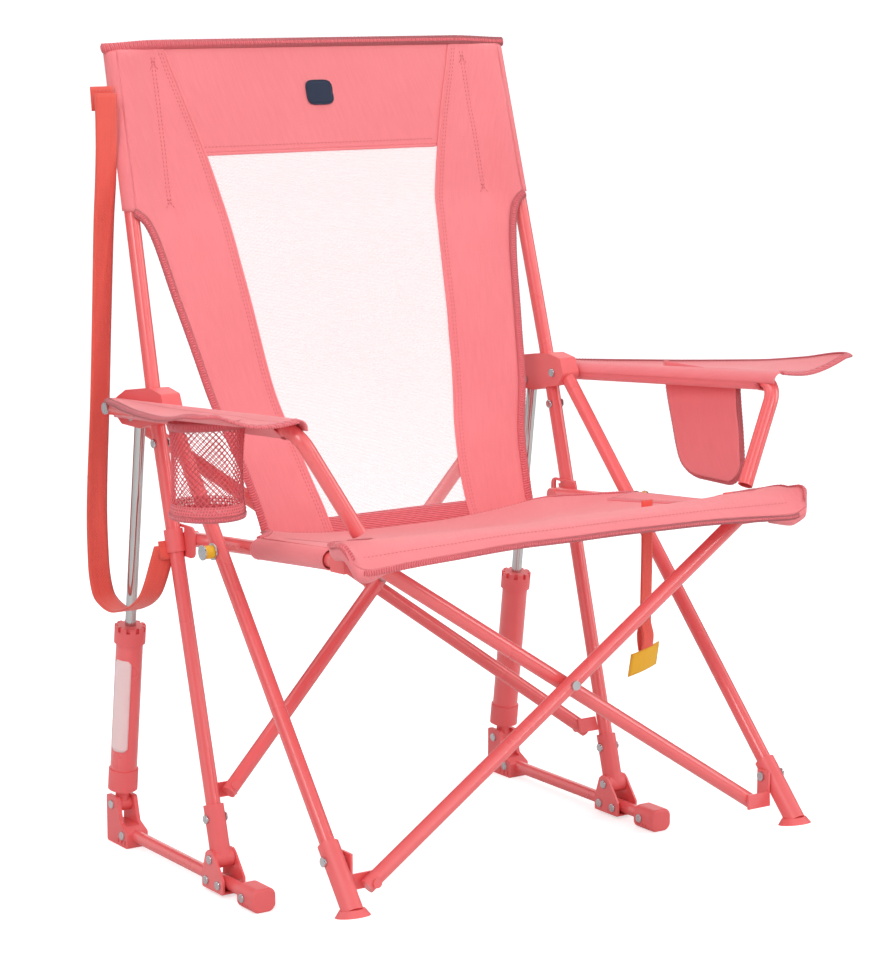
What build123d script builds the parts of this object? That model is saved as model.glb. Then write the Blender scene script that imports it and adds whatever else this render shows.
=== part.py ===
from build123d import *
from math import hypot
import os

# A folding camp rocking chair. Millimetres, +Z up, the chair faces -Y.
# Sizes are taken from the floor under the rocking pivots. Each finished piece is then moved back by
# PIVOT_TO_MIDDLE, so the origin is on the floor under the middle of the chair.
# Every side part is drawn for the +X side and mirrored for the -X side.

# Tubes and fasteners
TUBE_R = 8.0
WALL = 1.2
PIN_R = 2.5
PIVOT_R = 3.0
RUN = 0.05          # radial clearance of a turning pin
GAP = 0.3           # clearance between pieces that move past each other
HEAD_R = 5.0
HEAD_T = 2.2

# Side frame, as (y, z) unless stated
PIVOT_TO_MIDDLE = 33.632
FRAME_X = 262.0
PIVOT = (0.0, 37.0)
UPRIGHT_TOP = (251.4, 234.0, 880.0)     # x, y, z: the back cloth draws the uprights together
UPRIGHT_BEND_Z = 505.0                  # they lean inwards from here up, inside the arm bracket
LEG_TOP = (FRAME_X, 105.0, 512.0)
LEG_FOOT = (283.0, -292.0, 66.0)
BUSHING_AT = 0.31   # share of the front leg, from its top, where the bushing sits
LEG_BOLT_AT = 0.085     # share of the front leg, from its foot, where the link bolt goes through
UPRIGHT_BOLT_Z = 468.0
UPRIGHT_FOOT_BOLT_Z = 78.0
LEG_TOP_BOLT = (110.0, 506.0)
ARM_BRACKET_HALF = 11.5
LUG_T = 2.5
SLOT_Y = (-5.0, 15.2)   # travel room of the seat rail's rear pin, about its rest place
SLOT_Z = (-5.0, 14.2)

# Ground rail and spring cylinder
RAIL_R = 7.0
RAIL_Z = 13.0
RAIL_FRONT = -90.0
RAIL_REAR = 236.0
CYLINDER_LOW = (224.0, 44.0)
CYLINDER_HIGH = (164.0, 492.0)
ROD_R = 6.0
BARREL_R = 15.0
BARREL_FROM = 32.0
BARREL_TO = 200.0
ROD_FROM = 78.0

# Cross braces: lower pins, plane and height of the crossing tubes
FRONT_LOW = (-268.0, 81.0)
FRONT_HIGH = (-252.0, 409.0)
FRONT_X = 248.0
REAR_LOW = (24.0, 104.0)
REAR_HIGH = (180.0, 474.0)
REAR_X = 238.0
LINK_T = 2.5
LINK_OFF = 1.1      # a front link stands this far off the foot sleeve
SLEEVE_R = 11.0
LOOSE_HOLE_R = 6.4  # the rear pair's right-hand lower end floats on its pin as the chair folds
LANE = 8.5          # each brace tube lies this far from the crossing plane

# Seat rails and arms
SEAT_X = 243.0
SEAT_REAR = (90.0, 366.0)
CORNER_BACK = 34.0  # the seat rail's front pin lies this far behind the crossing plane
CORNER_DROP = 14.0
ARM_PIVOT = (284.0, 186.0, 500.0)
ARM_BEND = (303.0, -228.0, 531.0)
POST_END = (244.0, -249.0, 426.0)
ARM_CLOTH = 3.0
ARM_OUTER_FRONT = (408.0, -232.0)
ARM_OUTER_REAR = (300.0, 168.0)
ARM_INNER_REAR = (276.5, 168.0)
ARM_INNER_FRONT = (297.0, -228.0)
CUP = (346.0, -130.0)
CUP_R = 38.0
CUP_DEPTH = 96.0

# Fabric
CLOTH = 3.0
BACK_FOOT = (50.0, 372.0)
SLEEVE_LOW_Z = 712.0
STRAP_W = 28.0
STRAP_T = 2.4
STRAP_TOP_Z = 836.0
STRAP_END_Z = 362.0
PULL = (195.0, -150.0)      # where the pull strap hangs

SIDES = {"left": -1, "right": 1}

os.makedirs("parts", exist_ok=True)


def save(name, shape):
    """Write one node's STEP file, with the origin under the middle of the chair's depth."""
    shape = Pos(0, PIVOT_TO_MIDDLE, 0) * shape
    shape.label = name
    export_step(shape, f"parts/{name}.step")


def aim(start, end):
    """A plane at start whose Z runs towards end."""
    return Plane(origin=start, z_dir=Vector(*end) - Vector(*start))


def rod(start, end, radius):
    """A solid round bar between two points."""
    length = (Vector(*end) - Vector(*start)).length
    return aim(start, end) * Cylinder(radius, length, align=(Align.CENTER, Align.CENTER, Align.MIN))


def pipe(start, end, radius, bore):
    """A round tube between two points."""
    return rod(start, end, radius) - rod(start, end, bore)


def tube(start, end):
    """One frame tube between two points."""
    return pipe(start, end, TUBE_R, TUBE_R - WALL)


def bar_x(x_from, x_to, y, z, radius):
    """A round bar along X."""
    return rod((x_from, y, z), (x_to, y, z), radius)


def profile_x(points, x_from, x_to):
    """A (y, z) outline drawn out along X."""
    outline = Polyline(*[(x_from, y, z) for y, z in points], close=True)
    return extrude(make_face(outline), amount=x_to - x_from, dir=(1, 0, 0))


def box(x, y, z):
    """A box from three (low, high) ranges."""
    size = (x[1] - x[0], y[1] - y[0], z[1] - z[0])
    middle = ((x[0] + x[1]) / 2, (y[0] + y[1]) / 2, (z[0] + z[1]) / 2)
    return Pos(*middle) * Box(*size)


def rivet_x(x_from, x_to, y, z, radius=PIN_R, head=HEAD_R):
    """A pin along X with a domed head on each end, the heads outside the two x values."""
    shank = bar_x(x_from, x_to, y, z, radius)
    low = bar_x(x_from - HEAD_T, x_from, y, z, head)
    high = bar_x(x_to, x_to + HEAD_T, y, z, head)
    low = fillet(low.edges().sort_by(Axis.X)[0], HEAD_T * 0.6)
    high = fillet(high.edges().sort_by(Axis.X)[-1], HEAD_T * 0.6)
    return shank + low + high


def on_side(shape, side):
    """The shape itself for the +X side, or its mirror image for the -X side."""
    return shape if side > 0 else mirror(shape, about=Plane.YZ)


def save_pair(name, shape):
    """Save a side part and its mirror image."""
    for word, side in SIDES.items():
        save(f"{name}_{word}", on_side(shape, side))


def between(a, b, share):
    """The point that lies a share of the way from a to b."""
    return tuple(p + (q - p) * share for p, q in zip(a, b))


def upright_y(z):
    """The upright's y at a height."""
    return PIVOT[0] + (UPRIGHT_TOP[1] - PIVOT[0]) * (z - PIVOT[1]) / (UPRIGHT_TOP[2] - PIVOT[1])


def upright_point(z):
    """A point on the upright's centre line."""
    lean = max(z - UPRIGHT_BEND_Z, 0) / (UPRIGHT_TOP[2] - UPRIGHT_BEND_Z)
    return (FRAME_X + (UPRIGHT_TOP[0] - FRAME_X) * lean, upright_y(z), z)


def upright_bar(low, high, radius):
    """A round bar along the upright's centre line, from one height to another."""
    if low >= UPRIGHT_BEND_Z or high <= UPRIGHT_BEND_Z:
        return rod(upright_point(low), upright_point(high), radius)
    bend = upright_point(UPRIGHT_BEND_Z)
    bar = rod(upright_point(low), bend, radius) + rod(bend, upright_point(high), radius)
    return bar + Pos(*bend) * Sphere(radius)


# ---- Ground rail: the tube that lies on the floor, its moulded ends and its steel pivot bracket

CAP_W = 29.0
CAP_H = 24.0
CAP_LENGTH = 32.0
CAP_END = 8.0       # solid front of the cap, ahead of the tube
REAR_END = 14.0     # the rear bracket reaches this far behind the tube
BRACKET_W = 26.0
PLATE_T = 2.5
PLATE_IN = 11.5
LOWER_SCREWS = ((8.0, RAIL_Z), (-17.0, RAIL_Z))
CAP_SCREW_Y = -68.0
REAR_SCREW_Y = 200.0

rail_ends = ((FRAME_X, RAIL_FRONT + CAP_END, RAIL_Z), (FRAME_X, RAIL_REAR - REAR_END, RAIL_Z))
rail_tube = pipe(*rail_ends, RAIL_R, RAIL_R - WALL)

cap_outline = RectangleRounded(CAP_H + 2, CAP_W, 9)
cap_plane = Plane(origin=(FRAME_X, RAIL_FRONT + CAP_LENGTH, RAIL_Z), z_dir=(0, -1, 0))
cap = cap_plane * extrude(cap_outline, CAP_LENGTH)
cap = fillet(cap.faces().sort_by(Axis.Y)[0].edges(), 3)
cap -= rod(*rail_ends, RAIL_R)
for rib in range(4):
    y = RAIL_FRONT + 9 + rib * 5.5
    for x in (FRAME_X - CAP_W / 2, FRAME_X + CAP_W / 2 - 1.4):
        cap -= box((x, x + 1.4), (y, y + 2.2), (0, 8))

rear = profile_x([(188, 0), (188, 18), (205, 26), (212, 54), (236, 54), (236, 0)],
                 FRAME_X - BRACKET_W / 2, FRAME_X + BRACKET_W / 2)
rear = fillet(rear.edges().filter_by(Axis.X), 3)
rear -= box((FRAME_X - 8.3, FRAME_X + 8.3), (180, 260), (RAIL_Z + RAIL_R + 3, 70))
rear -= rod(*rail_ends, RAIL_R)
for rib in range(3):
    y = 192 + rib * 8
    for x in (FRAME_X - BRACKET_W / 2, FRAME_X + BRACKET_W / 2 - 1.2):
        rear -= box((x, x + 1.2), (y, y + 3), (3, 8))

bracket_outline = [(-27, 4), (17, 4), (17, 20), (9, 43), (4, 47), (-4, 47), (-9, 43), (-27, 20)]
plates = profile_x(bracket_outline, FRAME_X - PLATE_IN - PLATE_T, FRAME_X + PLATE_IN + PLATE_T)
plates = fillet(plates.edges().filter_by(Axis.X), 2)
plates -= box((FRAME_X - PLATE_IN, FRAME_X + PLATE_IN), (-40, 40), (6, 60))

rail_screws = []
plate_edge = PLATE_IN + PLATE_T
rail_screws.append(rivet_x(FRAME_X - plate_edge, FRAME_X + plate_edge, *PIVOT, PIVOT_R))
for y, z in LOWER_SCREWS:
    rail_screws.append(rivet_x(FRAME_X - plate_edge, FRAME_X + plate_edge, y, z))
rail_screws.append(rivet_x(FRAME_X - CAP_W / 2, FRAME_X + CAP_W / 2, CAP_SCREW_Y, RAIL_Z))
rail_screws.append(rivet_x(FRAME_X - BRACKET_W / 2, FRAME_X + BRACKET_W / 2, REAR_SCREW_Y, RAIL_Z))
rail_screws.append(rivet_x(FRAME_X - BRACKET_W / 2, FRAME_X + BRACKET_W / 2, *CYLINDER_LOW, PIVOT_R))


def drill_x(shape, spots, radius=PIN_R):
    """Drill holes along X right through a side part."""
    for y, z in spots:
        shape -= bar_x(FRAME_X - 60, FRAME_X + 60, y, z, radius)
    return shape


rail_tube = drill_x(rail_tube, LOWER_SCREWS + ((CAP_SCREW_Y, RAIL_Z), (REAR_SCREW_Y, RAIL_Z)))
cap = drill_x(cap, ((CAP_SCREW_Y, RAIL_Z),))
plates = drill_x(drill_x(plates, LOWER_SCREWS), (PIVOT,), PIVOT_R)
rear = drill_x(drill_x(rear, ((REAR_SCREW_Y, RAIL_Z),)), (CYLINDER_LOW,), PIVOT_R)

save_pair("ground_rail", rail_tube)
save_pair("rail_front_cap", cap)
save_pair("rail_rear_bracket", rear)
save_pair("pivot_bracket", plates)
save_pair("rail_screws", Part() + rail_screws)


# ---- Spring cylinder: foot, barrel and guide cap on the rail, chrome rod under the arm bracket

def on_cylinder(distance):
    """A point on the cylinder's axis, at a distance above its lower pin."""
    length = hypot(CYLINDER_HIGH[0] - CYLINDER_LOW[0], CYLINDER_HIGH[1] - CYLINDER_LOW[1])
    y, z = between(CYLINDER_LOW, CYLINDER_HIGH, distance / length)
    return (FRAME_X, y, z)


FOOT_EYE_R = 9.0
ROD_LENGTH = hypot(CYLINDER_HIGH[0] - CYLINDER_LOW[0], CYLINDER_HIGH[1] - CYLINDER_LOW[1])
cyl_foot = bar_x(FRAME_X - 8, FRAME_X + 8, *CYLINDER_LOW, FOOT_EYE_R)
cyl_foot += rod(on_cylinder(0), on_cylinder(BARREL_FROM), 7.8)
cyl_foot += rod(on_cylinder(18), on_cylinder(BARREL_FROM + 10), BARREL_R + 1.6)
cyl_foot -= rod(on_cylinder(BARREL_FROM), on_cylinder(BARREL_FROM + 20), BARREL_R)
cyl_foot -= bar_x(FRAME_X - 20, FRAME_X + 20, *CYLINDER_LOW, PIVOT_R + RUN)
barrel = pipe(on_cylinder(BARREL_FROM), on_cylinder(BARREL_TO), BARREL_R, BARREL_R - 3)
barrel_cap = rod(on_cylinder(BARREL_TO - 8), on_cylinder(BARREL_TO + 12), BARREL_R + 2.4)
barrel_cap -= rod(on_cylinder(BARREL_TO - 8), on_cylinder(BARREL_TO), BARREL_R)
barrel_cap -= rod(on_cylinder(BARREL_TO - 8), on_cylinder(BARREL_TO + 12), ROD_R + RUN)
lip_plane = aim(on_cylinder(BARREL_TO + 12), on_cylinder(BARREL_TO + 20))
for notch in range(10):
    turn = Rot(0, 0, notch * 36)
    barrel_cap -= lip_plane * turn * Pos(BARREL_R + 1.4, 0, -2.5) * Box(5, 4, 6)
EYE_R = 10.0
EYE_BORE = 7.2
piston_rod = rod(on_cylinder(ROD_FROM), on_cylinder(ROD_LENGTH - EYE_R + 1), ROD_R)
piston_rod += bar_x(FRAME_X - 6, FRAME_X + 6, *CYLINDER_HIGH, EYE_R)
piston_rod -= bar_x(FRAME_X - 8, FRAME_X + 8, *CYLINDER_HIGH, EYE_BORE)
save_pair("cylinder_foot", cyl_foot)
save_pair("cylinder_barrel", barrel)
save_pair("cylinder_cap", barrel_cap)
save_pair("piston_rod", piston_rod)


# ---- Side frame: upright, its moulded foot, front leg and foot, arm bracket, seat lug, bushing

UPRIGHT_FOOT_Z = PIVOT[1] + 14
UPRIGHT_FOOT_TOP_Z = 92.0
UPRIGHT_EYE_R = 10.4
upright_ends = (UPRIGHT_FOOT_Z, UPRIGHT_TOP[2])
upright = upright_bar(*upright_ends, TUBE_R) - upright_bar(*upright_ends, TUBE_R - WALL)
upright_foot = upright_bar(PIVOT[1], UPRIGHT_FOOT_TOP_Z, SLEEVE_R)
upright_foot += bar_x(FRAME_X - SLEEVE_R, FRAME_X + SLEEVE_R, *PIVOT, UPRIGHT_EYE_R)
upright_foot -= upright_bar(UPRIGHT_FOOT_Z, UPRIGHT_FOOT_TOP_Z + 20, TUBE_R)
upright_foot -= bar_x(FRAME_X - 20, FRAME_X + 20, *PIVOT, PIVOT_R + RUN)

leg = tube(LEG_FOOT, LEG_TOP)
FLANGE_TILT = 10.5
foot_low = between(LEG_FOOT, LEG_TOP, -0.012)
front_foot = rod(foot_low, between(LEG_FOOT, LEG_TOP, 0.115), SLEEVE_R)
flange = Pos(LEG_FOOT[0], LEG_FOOT[1] - 3, LEG_FOOT[2] - 5.5) * Rot(-FLANGE_TILT, 0, 0) * Cone(18, 13, 7)
front_foot = front_foot + flange
front_foot -= rod(LEG_FOOT, LEG_TOP, TUBE_R)

arm_outline = [(88, 506), (96, 524), (120, 528), (176, 520), (200, 508)]
arm_outline += [(200, 490), (186, 481.5), (146, 481.5), (122, 488), (100, 492)]
arm_bracket = profile_x(arm_outline, FRAME_X - ARM_BRACKET_HALF, FRAME_X + ARM_BRACKET_HALF)
arm_bracket = fillet(arm_bracket.edges().filter_by(Axis.X), 4)
arm_bracket -= upright_bar(450, 560, TUBE_R)
arm_bracket -= rod(LEG_FOOT, between(LEG_FOOT, LEG_TOP, 1.002), TUBE_R)
arm_bracket -= box((FRAME_X - 6.3, FRAME_X + 6.3), (CYLINDER_HIGH[0] - 15, CYLINDER_HIGH[0] + 15),
                   (460, CYLINDER_HIGH[1] + 15))

LUG_IN = FRAME_X - TUBE_R - LUG_T
lug_y = (SEAT_REAR[0] - 26, SEAT_REAR[0] + 22)
lug_z = (SEAT_REAR[1] - 17, SEAT_REAR[1] + 17)
seat_lug = box((LUG_IN, LUG_IN + LUG_T), lug_y, lug_z)
seat_lug = fillet(seat_lug.edges().filter_by(Axis.X), 8)
band = upright_bar(SEAT_REAR[1] - 12, SEAT_REAR[1] + 12, TUBE_R + LUG_T)
band -= box((LUG_IN - 20, LUG_IN + LUG_T), (0, 200), (300, 420))
seat_lug += band
seat_lug -= upright_bar(300, 420, TUBE_R)
slot_cut = box((LUG_IN - 1, LUG_IN + LUG_T), (SEAT_REAR[0] + SLOT_Y[0], SEAT_REAR[0] + SLOT_Y[1]),
               (SEAT_REAR[1] + SLOT_Z[0], SEAT_REAR[1] + SLOT_Z[1]))
seat_lug -= slot_cut

bush_at = between(LEG_TOP, LEG_FOOT, BUSHING_AT)
bush_x = bush_at[0] + TUBE_R + 0.4
bushing = bar_x(bush_x + 1.6, bush_x + 12, bush_at[1], bush_at[2], 7)

front_bolt = between(LEG_FOOT, LEG_TOP, LEG_BOLT_AT)
upright_bolt = (upright_y(UPRIGHT_BOLT_Z), UPRIGHT_BOLT_Z)
upright_foot_bolt = (upright_y(UPRIGHT_FOOT_BOLT_Z), UPRIGHT_FOOT_BOLT_Z)
bracket_faces = (FRAME_X - ARM_BRACKET_HALF, FRAME_X + ARM_BRACKET_HALF)
frame_screws = [
    rivet_x(FRAME_X - TUBE_R, FRAME_X + TUBE_R, *upright_bolt),
    rivet_x(*bracket_faces, *CYLINDER_HIGH, PIVOT_R),
    rivet_x(*bracket_faces, *LEG_TOP_BOLT),
    rivet_x(FRAME_X - SLEEVE_R, FRAME_X + SLEEVE_R, *upright_foot_bolt),
]
washer = bar_x(bush_x, bush_x + 1.6, bush_at[1], bush_at[2], 9)
washer += bar_x(bush_x + 12, bush_x + 13.6, bush_at[1], bush_at[2], 8)

bolt_in = front_bolt[0] - SLEEVE_R - LINK_OFF - LINK_T - GAP
bolt_out = front_bolt[0] + SLEEVE_R + 0.4
bolt = bar_x(bolt_in - HEAD_T, bolt_out, front_bolt[1], front_bolt[2], PIN_R)
bolt += bar_x(bolt_in - HEAD_T, bolt_in, front_bolt[1], front_bolt[2], HEAD_R)
bolt += bar_x(bolt_out, bolt_out + HEAD_T, front_bolt[1], front_bolt[2], HEAD_R)
frame_screws.append(bolt)
ARM_HEAD_R = 6.5
arm_bolt_out = ARM_PIVOT[0] + TUBE_R + GAP
arm_bolt = bar_x(FRAME_X, arm_bolt_out, *ARM_PIVOT[1:], PIVOT_R)
arm_bolt += bar_x(arm_bolt_out, arm_bolt_out + HEAD_T, *ARM_PIVOT[1:], ARM_HEAD_R)
frame_screws.append(arm_bolt)
frame_screws.append(washer)

through = ((front_bolt[1], front_bolt[2]),)
save_pair("upright", drill_x(upright, (upright_bolt, upright_foot_bolt)))
save_pair("upright_foot", drill_x(upright_foot, (upright_foot_bolt,)))
save_pair("front_leg", drill_x(leg, through + (LEG_TOP_BOLT,)))
save_pair("front_foot", drill_x(front_foot, through))
arm_bracket = drill_x(drill_x(arm_bracket, (LEG_TOP_BOLT,)), (CYLINDER_HIGH,), PIVOT_R)
arm_bracket -= bar_x(FRAME_X, FRAME_X + 40, *ARM_PIVOT[1:], PIVOT_R)
save_pair("arm_bracket", arm_bracket)
save_pair("seat_lug", seat_lug)
save_pair("leg_bushing", bushing)
save_pair("frame_screws", Part() + frame_screws)


# ---- Crossed braces: two tubes and a centre bolt in front, two more behind

def cross_plane(low, high):
    """The plane of a pair of crossed tubes: X across, Y up the plane, Z towards the front."""
    rise = hypot(high[0] - low[0], high[1] - low[1])
    lean = (high[0] - low[0]) / rise
    plane = Plane(origin=(0, *low), x_dir=(1, 0, 0), z_dir=(0, -(high[1] - low[1]) / rise, lean))
    return plane, rise


def on_plane(plane, x, up, front):
    """A point given across, up and in front of a crossing plane."""
    return tuple(plane.from_local_coords(Vector(x, up, front)))


def brace(plane, half, rise, side, lane):
    """A cross tube from the lower pin on one side to the upper end on the other."""
    low = on_plane(plane, side * half, 0, lane)
    high = on_plane(plane, -side * half, rise, lane)
    length = (Vector(*high) - Vector(*low)).length
    low_end = between(low, high, -8 / length)
    high_end = between(low, high, 1 + 8 / length)
    piece = tube(low_end, high_end)
    piece += rod(low_end, between(low, high, 10 / length), TUBE_R)
    piece += rod(high_end, between(low, high, 1 - 10 / length), TUBE_R)
    for x, up in ((side * half, 0), (-side * half, rise)):
        piece -= rod(on_plane(plane, x, up, lane - 12), on_plane(plane, x, up, lane + 12), PIN_R + RUN)
    return piece


def centre_bolt(plane, rise):
    """The bolt where a pair of tubes cross, fixed in the front tube."""
    ends = LANE + TUBE_R
    stations = (-ends - GAP - HEAD_T, -ends - GAP, ends, ends + HEAD_T)
    nut, nut_face, head_face, head = [on_plane(plane, 0, rise / 2, front) for front in stations]
    return rod(nut_face, head_face, PIN_R) + rod(nut, nut_face, HEAD_R) + rod(head_face, head, HEAD_R)


def cross_pair(name, low, high, half, loose_r):
    """Save a pair of crossed tubes and their bolt. loose_r is the hole at the back tube's lower end."""
    plane, rise = cross_plane(low, high)
    front = brace(plane, half, rise, -1, LANE)
    back = brace(plane, half, rise, 1, -LANE)
    middle = (on_plane(plane, 0, rise / 2, -30), on_plane(plane, 0, rise / 2, 30))
    save(f"{name}_brace_front", front - rod(*middle, PIN_R))
    loose = (on_plane(plane, half, 0, -LANE - 12), on_plane(plane, half, 0, -LANE + 12))
    save(f"{name}_brace_back", back - rod(*middle, PIN_R + RUN) - rod(*loose, loose_r))
    save(f"{name}_centre_bolt", centre_bolt(plane, rise))
    return plane, rise


front_plane, front_rise = cross_pair("front", FRONT_LOW, FRONT_HIGH, FRONT_X, PIN_R + RUN)
rear_plane, rear_rise = cross_pair("rear", REAR_LOW, REAR_HIGH, REAR_X, LOOSE_HOLE_R)


def link(plane, half, side, tab, slot=0.0):
    """A steel link on the frame and its pin through a brace's lower end."""
    lane = LANE * (-side)
    ahead = 1 if lane > 0 else -1
    near = lane - ahead * (TUBE_R + GAP)
    far = near - ahead * LINK_T
    tip = lane + ahead * (TUBE_R + GAP)
    cross = side * half
    piece = box((cross - 9, cross + 9), (-8, 8), (min(near, far), max(near, far)))
    reach = (half + 9, tab)
    piece += box(tuple(sorted((side * reach[0], side * reach[1]))), (-8, 8), (min(near, far), max(near, far)))
    pin = Pos(cross + side * slot, 0, (far + tip) / 2) * Cylinder(PIN_R, abs(tip - far))
    head = Pos(cross + side * slot, 0, tip + ahead * HEAD_T / 2) * Cylinder(HEAD_R, HEAD_T)
    return plane * (piece + pin + head)


TAB_X = front_bolt[0] - SLEEVE_R - LINK_OFF
for word, side in SIDES.items():
    piece = link(front_plane, FRONT_X, side, TAB_X)
    low, high = sorted((side * (TAB_X - LINK_T), side * TAB_X))
    piece += box((low, high), (FRONT_LOW[0] - 2, front_bolt[1] + 7), (FRONT_LOW[1] - 4, front_bolt[2] + 7))
    hole = rod((low - 5, front_bolt[1], front_bolt[2]), (high + 5, front_bolt[1], front_bolt[2]), PIN_R + RUN)
    save(f"front_link_{word}", piece - hole)
    save(f"rear_link_{word}", link(rear_plane, REAR_X, side, FRAME_X - 8))


# ---- Seat corners and seat rails

pin_y, pin_z = on_plane(front_plane, 0, front_rise - CORNER_DROP, -CORNER_BACK)[1:]
CHEEK_IN = TUBE_R + GAP
CHEEK_OUT = 11.0
for word, side in SIDES.items():
    lane = LANE * side
    near = lane - TUBE_R - GAP
    tip = lane + TUBE_R + GAP
    block = box((SEAT_X - CHEEK_OUT, SEAT_X + CHEEK_OUT), (front_rise - 24, front_rise + 8), (-25, near))
    outer = (SEAT_X - CHEEK_OUT, SEAT_X + CHEEK_OUT)
    inner = (SEAT_X - CHEEK_IN, SEAT_X + CHEEK_IN)
    cheeks = box(outer, (front_rise - 24, front_rise - 4), (-CORNER_BACK - 8, -25))
    cheeks -= box(inner, (front_rise - 30, front_rise + 10), (-CORNER_BACK - 10, -25))
    corner = front_plane * (block + cheeks)
    corner += front_plane * (Pos(FRONT_X, front_rise, (near + tip) / 2) * Cylinder(PIN_R, tip - near))
    corner += front_plane * (Pos(FRONT_X, front_rise, tip + HEAD_T / 2) * Cylinder(HEAD_R, HEAD_T))
    corner += bar_x(SEAT_X - CHEEK_OUT, SEAT_X + CHEEK_OUT, pin_y, pin_z, PIVOT_R)
    save(f"seat_corner_{word}", on_side(corner, side))

corner_pin = (SEAT_X, pin_y, pin_z)
rail_rear = (SEAT_X, *SEAT_REAR)
seat_rail = tube(corner_pin, rail_rear)
seat_rail += rod(corner_pin, between(corner_pin, rail_rear, 0.05), TUBE_R)
seat_rail += rod(between(corner_pin, rail_rear, 0.96), rail_rear, TUBE_R)
for y, z in ((pin_y, pin_z), SEAT_REAR):
    seat_rail += bar_x(SEAT_X - TUBE_R, SEAT_X + TUBE_R, y, z, TUBE_R)
seat_rail -= bar_x(SEAT_X - 20, SEAT_X + 20, pin_y, pin_z, PIVOT_R + RUN)
seat_rail += bar_x(SEAT_X, FRAME_X - TUBE_R - 0.3, *SEAT_REAR, 3.5)
save_pair("seat_rail", seat_rail)


# ---- Arms: bent tube with its post, cloth top, cup holder and flat pocket

arm_line = FilletPolyline(ARM_PIVOT, ARM_BEND, POST_END, radius=26)
start = Plane(origin=ARM_PIVOT, z_dir=Vector(*ARM_BEND) - Vector(*ARM_PIVOT))
arm_tube = sweep(start * Circle(TUBE_R), arm_line) - sweep(start * Circle(TUBE_R - WALL), arm_line)
rear_end = between(ARM_PIVOT, ARM_BEND, -0.02)
arm_tube += rod(rear_end, between(ARM_PIVOT, ARM_BEND, 0.03), TUBE_R)
arm_tube -= bar_x(FRAME_X, FRAME_X + 50, *ARM_PIVOT[1:], PIVOT_R + RUN)
save_pair("arm_tube", arm_tube)

arm_length = ARM_PIVOT[1] - ARM_BEND[1]
arm_slope = (ARM_BEND[2] - ARM_PIVOT[2]) / arm_length
arm_cloth_z = ARM_PIVOT[2] + TUBE_R * hypot(1, arm_slope) + RUN
arm_plane = Plane(origin=(0, ARM_PIVOT[1], arm_cloth_z), x_dir=(1, 0, 0), z_dir=(0, arm_slope, 1))


def on_arm(x, y):
    """Local coordinates, on the underside of the arm cloth, of a point given by x and y."""
    return (x, (y - ARM_PIVOT[1]) * hypot(1, arm_slope))


arm_corners = [ARM_INNER_REAR, ARM_INNER_FRONT, ARM_OUTER_FRONT, (396, -150), ARM_OUTER_REAR]
arm_face = make_face(Polyline(*[on_arm(x, y) for x, y in arm_corners], close=True))
arm_cloth = extrude(arm_face, ARM_CLOTH)
arm_cloth = fillet(arm_cloth.edges().filter_by(Axis.Z), 5)
cup_spot = Pos(*on_arm(*CUP))
save("arm_cloth_right", arm_plane * arm_cloth)
save("arm_cloth_left", mirror(arm_plane * (arm_cloth - cup_spot * Cylinder(CUP_R - 4, 20)), about=Plane.YZ))

CUP_WALL = 2.0
CUP_FLOOR = 3.0
cup = Cylinder(CUP_R, CUP_DEPTH) - Pos(0, 0, CUP_FLOOR) * Cylinder(CUP_R - CUP_WALL, CUP_DEPTH)
cup = cup_spot * Pos(0, 0, -CUP_DEPTH / 2) * cup
save("cup_holder", mirror(arm_plane * cup, about=Plane.YZ))

POCKET_X = (309.0, 321.0)
POCKET_WALL = 2.2
POCKET_LIP = 34.0
pocket_points = [(-24, 523), (-148, 532), (-160, 425), (-146, 412), (-80, 410), (-52, 425)]
pocket = profile_x(pocket_points, *POCKET_X)
inner_points = [(-29, 540), (-143, 540), (-156, 427), (-144, 415), (-81, 413), (-57, 427)]
pocket -= profile_x(inner_points, POCKET_X[0] + POCKET_WALL, POCKET_X[1] - POCKET_WALL)
pocket -= box((POCKET_X[1] - POCKET_WALL, POCKET_X[1] + 5), (-180, 0), (523 - POCKET_LIP, 560))
save("side_pocket", pocket)


# ---- Back and seat fabric, drawn as plain slabs between the frames

SLEEVE_OUT = TUBE_R + 2.8
BACK_FOOT_HALF = (186.0, 240.0)     # half widths of the lower cloth, at its foot and where the sleeves begin
hem_z = UPRIGHT_TOP[2] + 3


def slab(low, high, half_low, half_high, thickness):
    """A flat cloth panel across X, from one (y, z) line up to another."""
    rise = hypot(high[0] - low[0], high[1] - low[1])
    normal = (0, -(high[1] - low[1]) / rise, (high[0] - low[0]) / rise)
    plane = Plane(origin=(0, *low), x_dir=(1, 0, 0), z_dir=normal)
    outline = Polyline((-half_low, 0), (half_low, 0), (half_high, rise), (-half_high, rise), close=True)
    return plane * extrude(make_face(outline), thickness / 2, both=True)


sleeve_x, sleeve_y, _ = upright_point(SLEEVE_LOW_Z)
hem_x, hem_y, _ = upright_point(hem_z)
into_sleeve = 1.0 - SLEEVE_OUT
upper_half = (sleeve_x + into_sleeve, hem_x + into_sleeve)
back_panel = slab((sleeve_y, SLEEVE_LOW_Z), (hem_y, hem_z), *upper_half, CLOTH)
back_panel += slab(BACK_FOOT, (sleeve_y, SLEEVE_LOW_Z), *BACK_FOOT_HALF, CLOTH)
sleeve = upright_bar(SLEEVE_LOW_Z, hem_z + 3, SLEEVE_OUT)
sleeve -= upright_bar(SLEEVE_LOW_Z - 5, UPRIGHT_TOP[2] + 0.5, TUBE_R + GAP)
back_panel += sleeve
back_panel += mirror(sleeve, about=Plane.YZ)
save("back_panel", back_panel)

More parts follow.
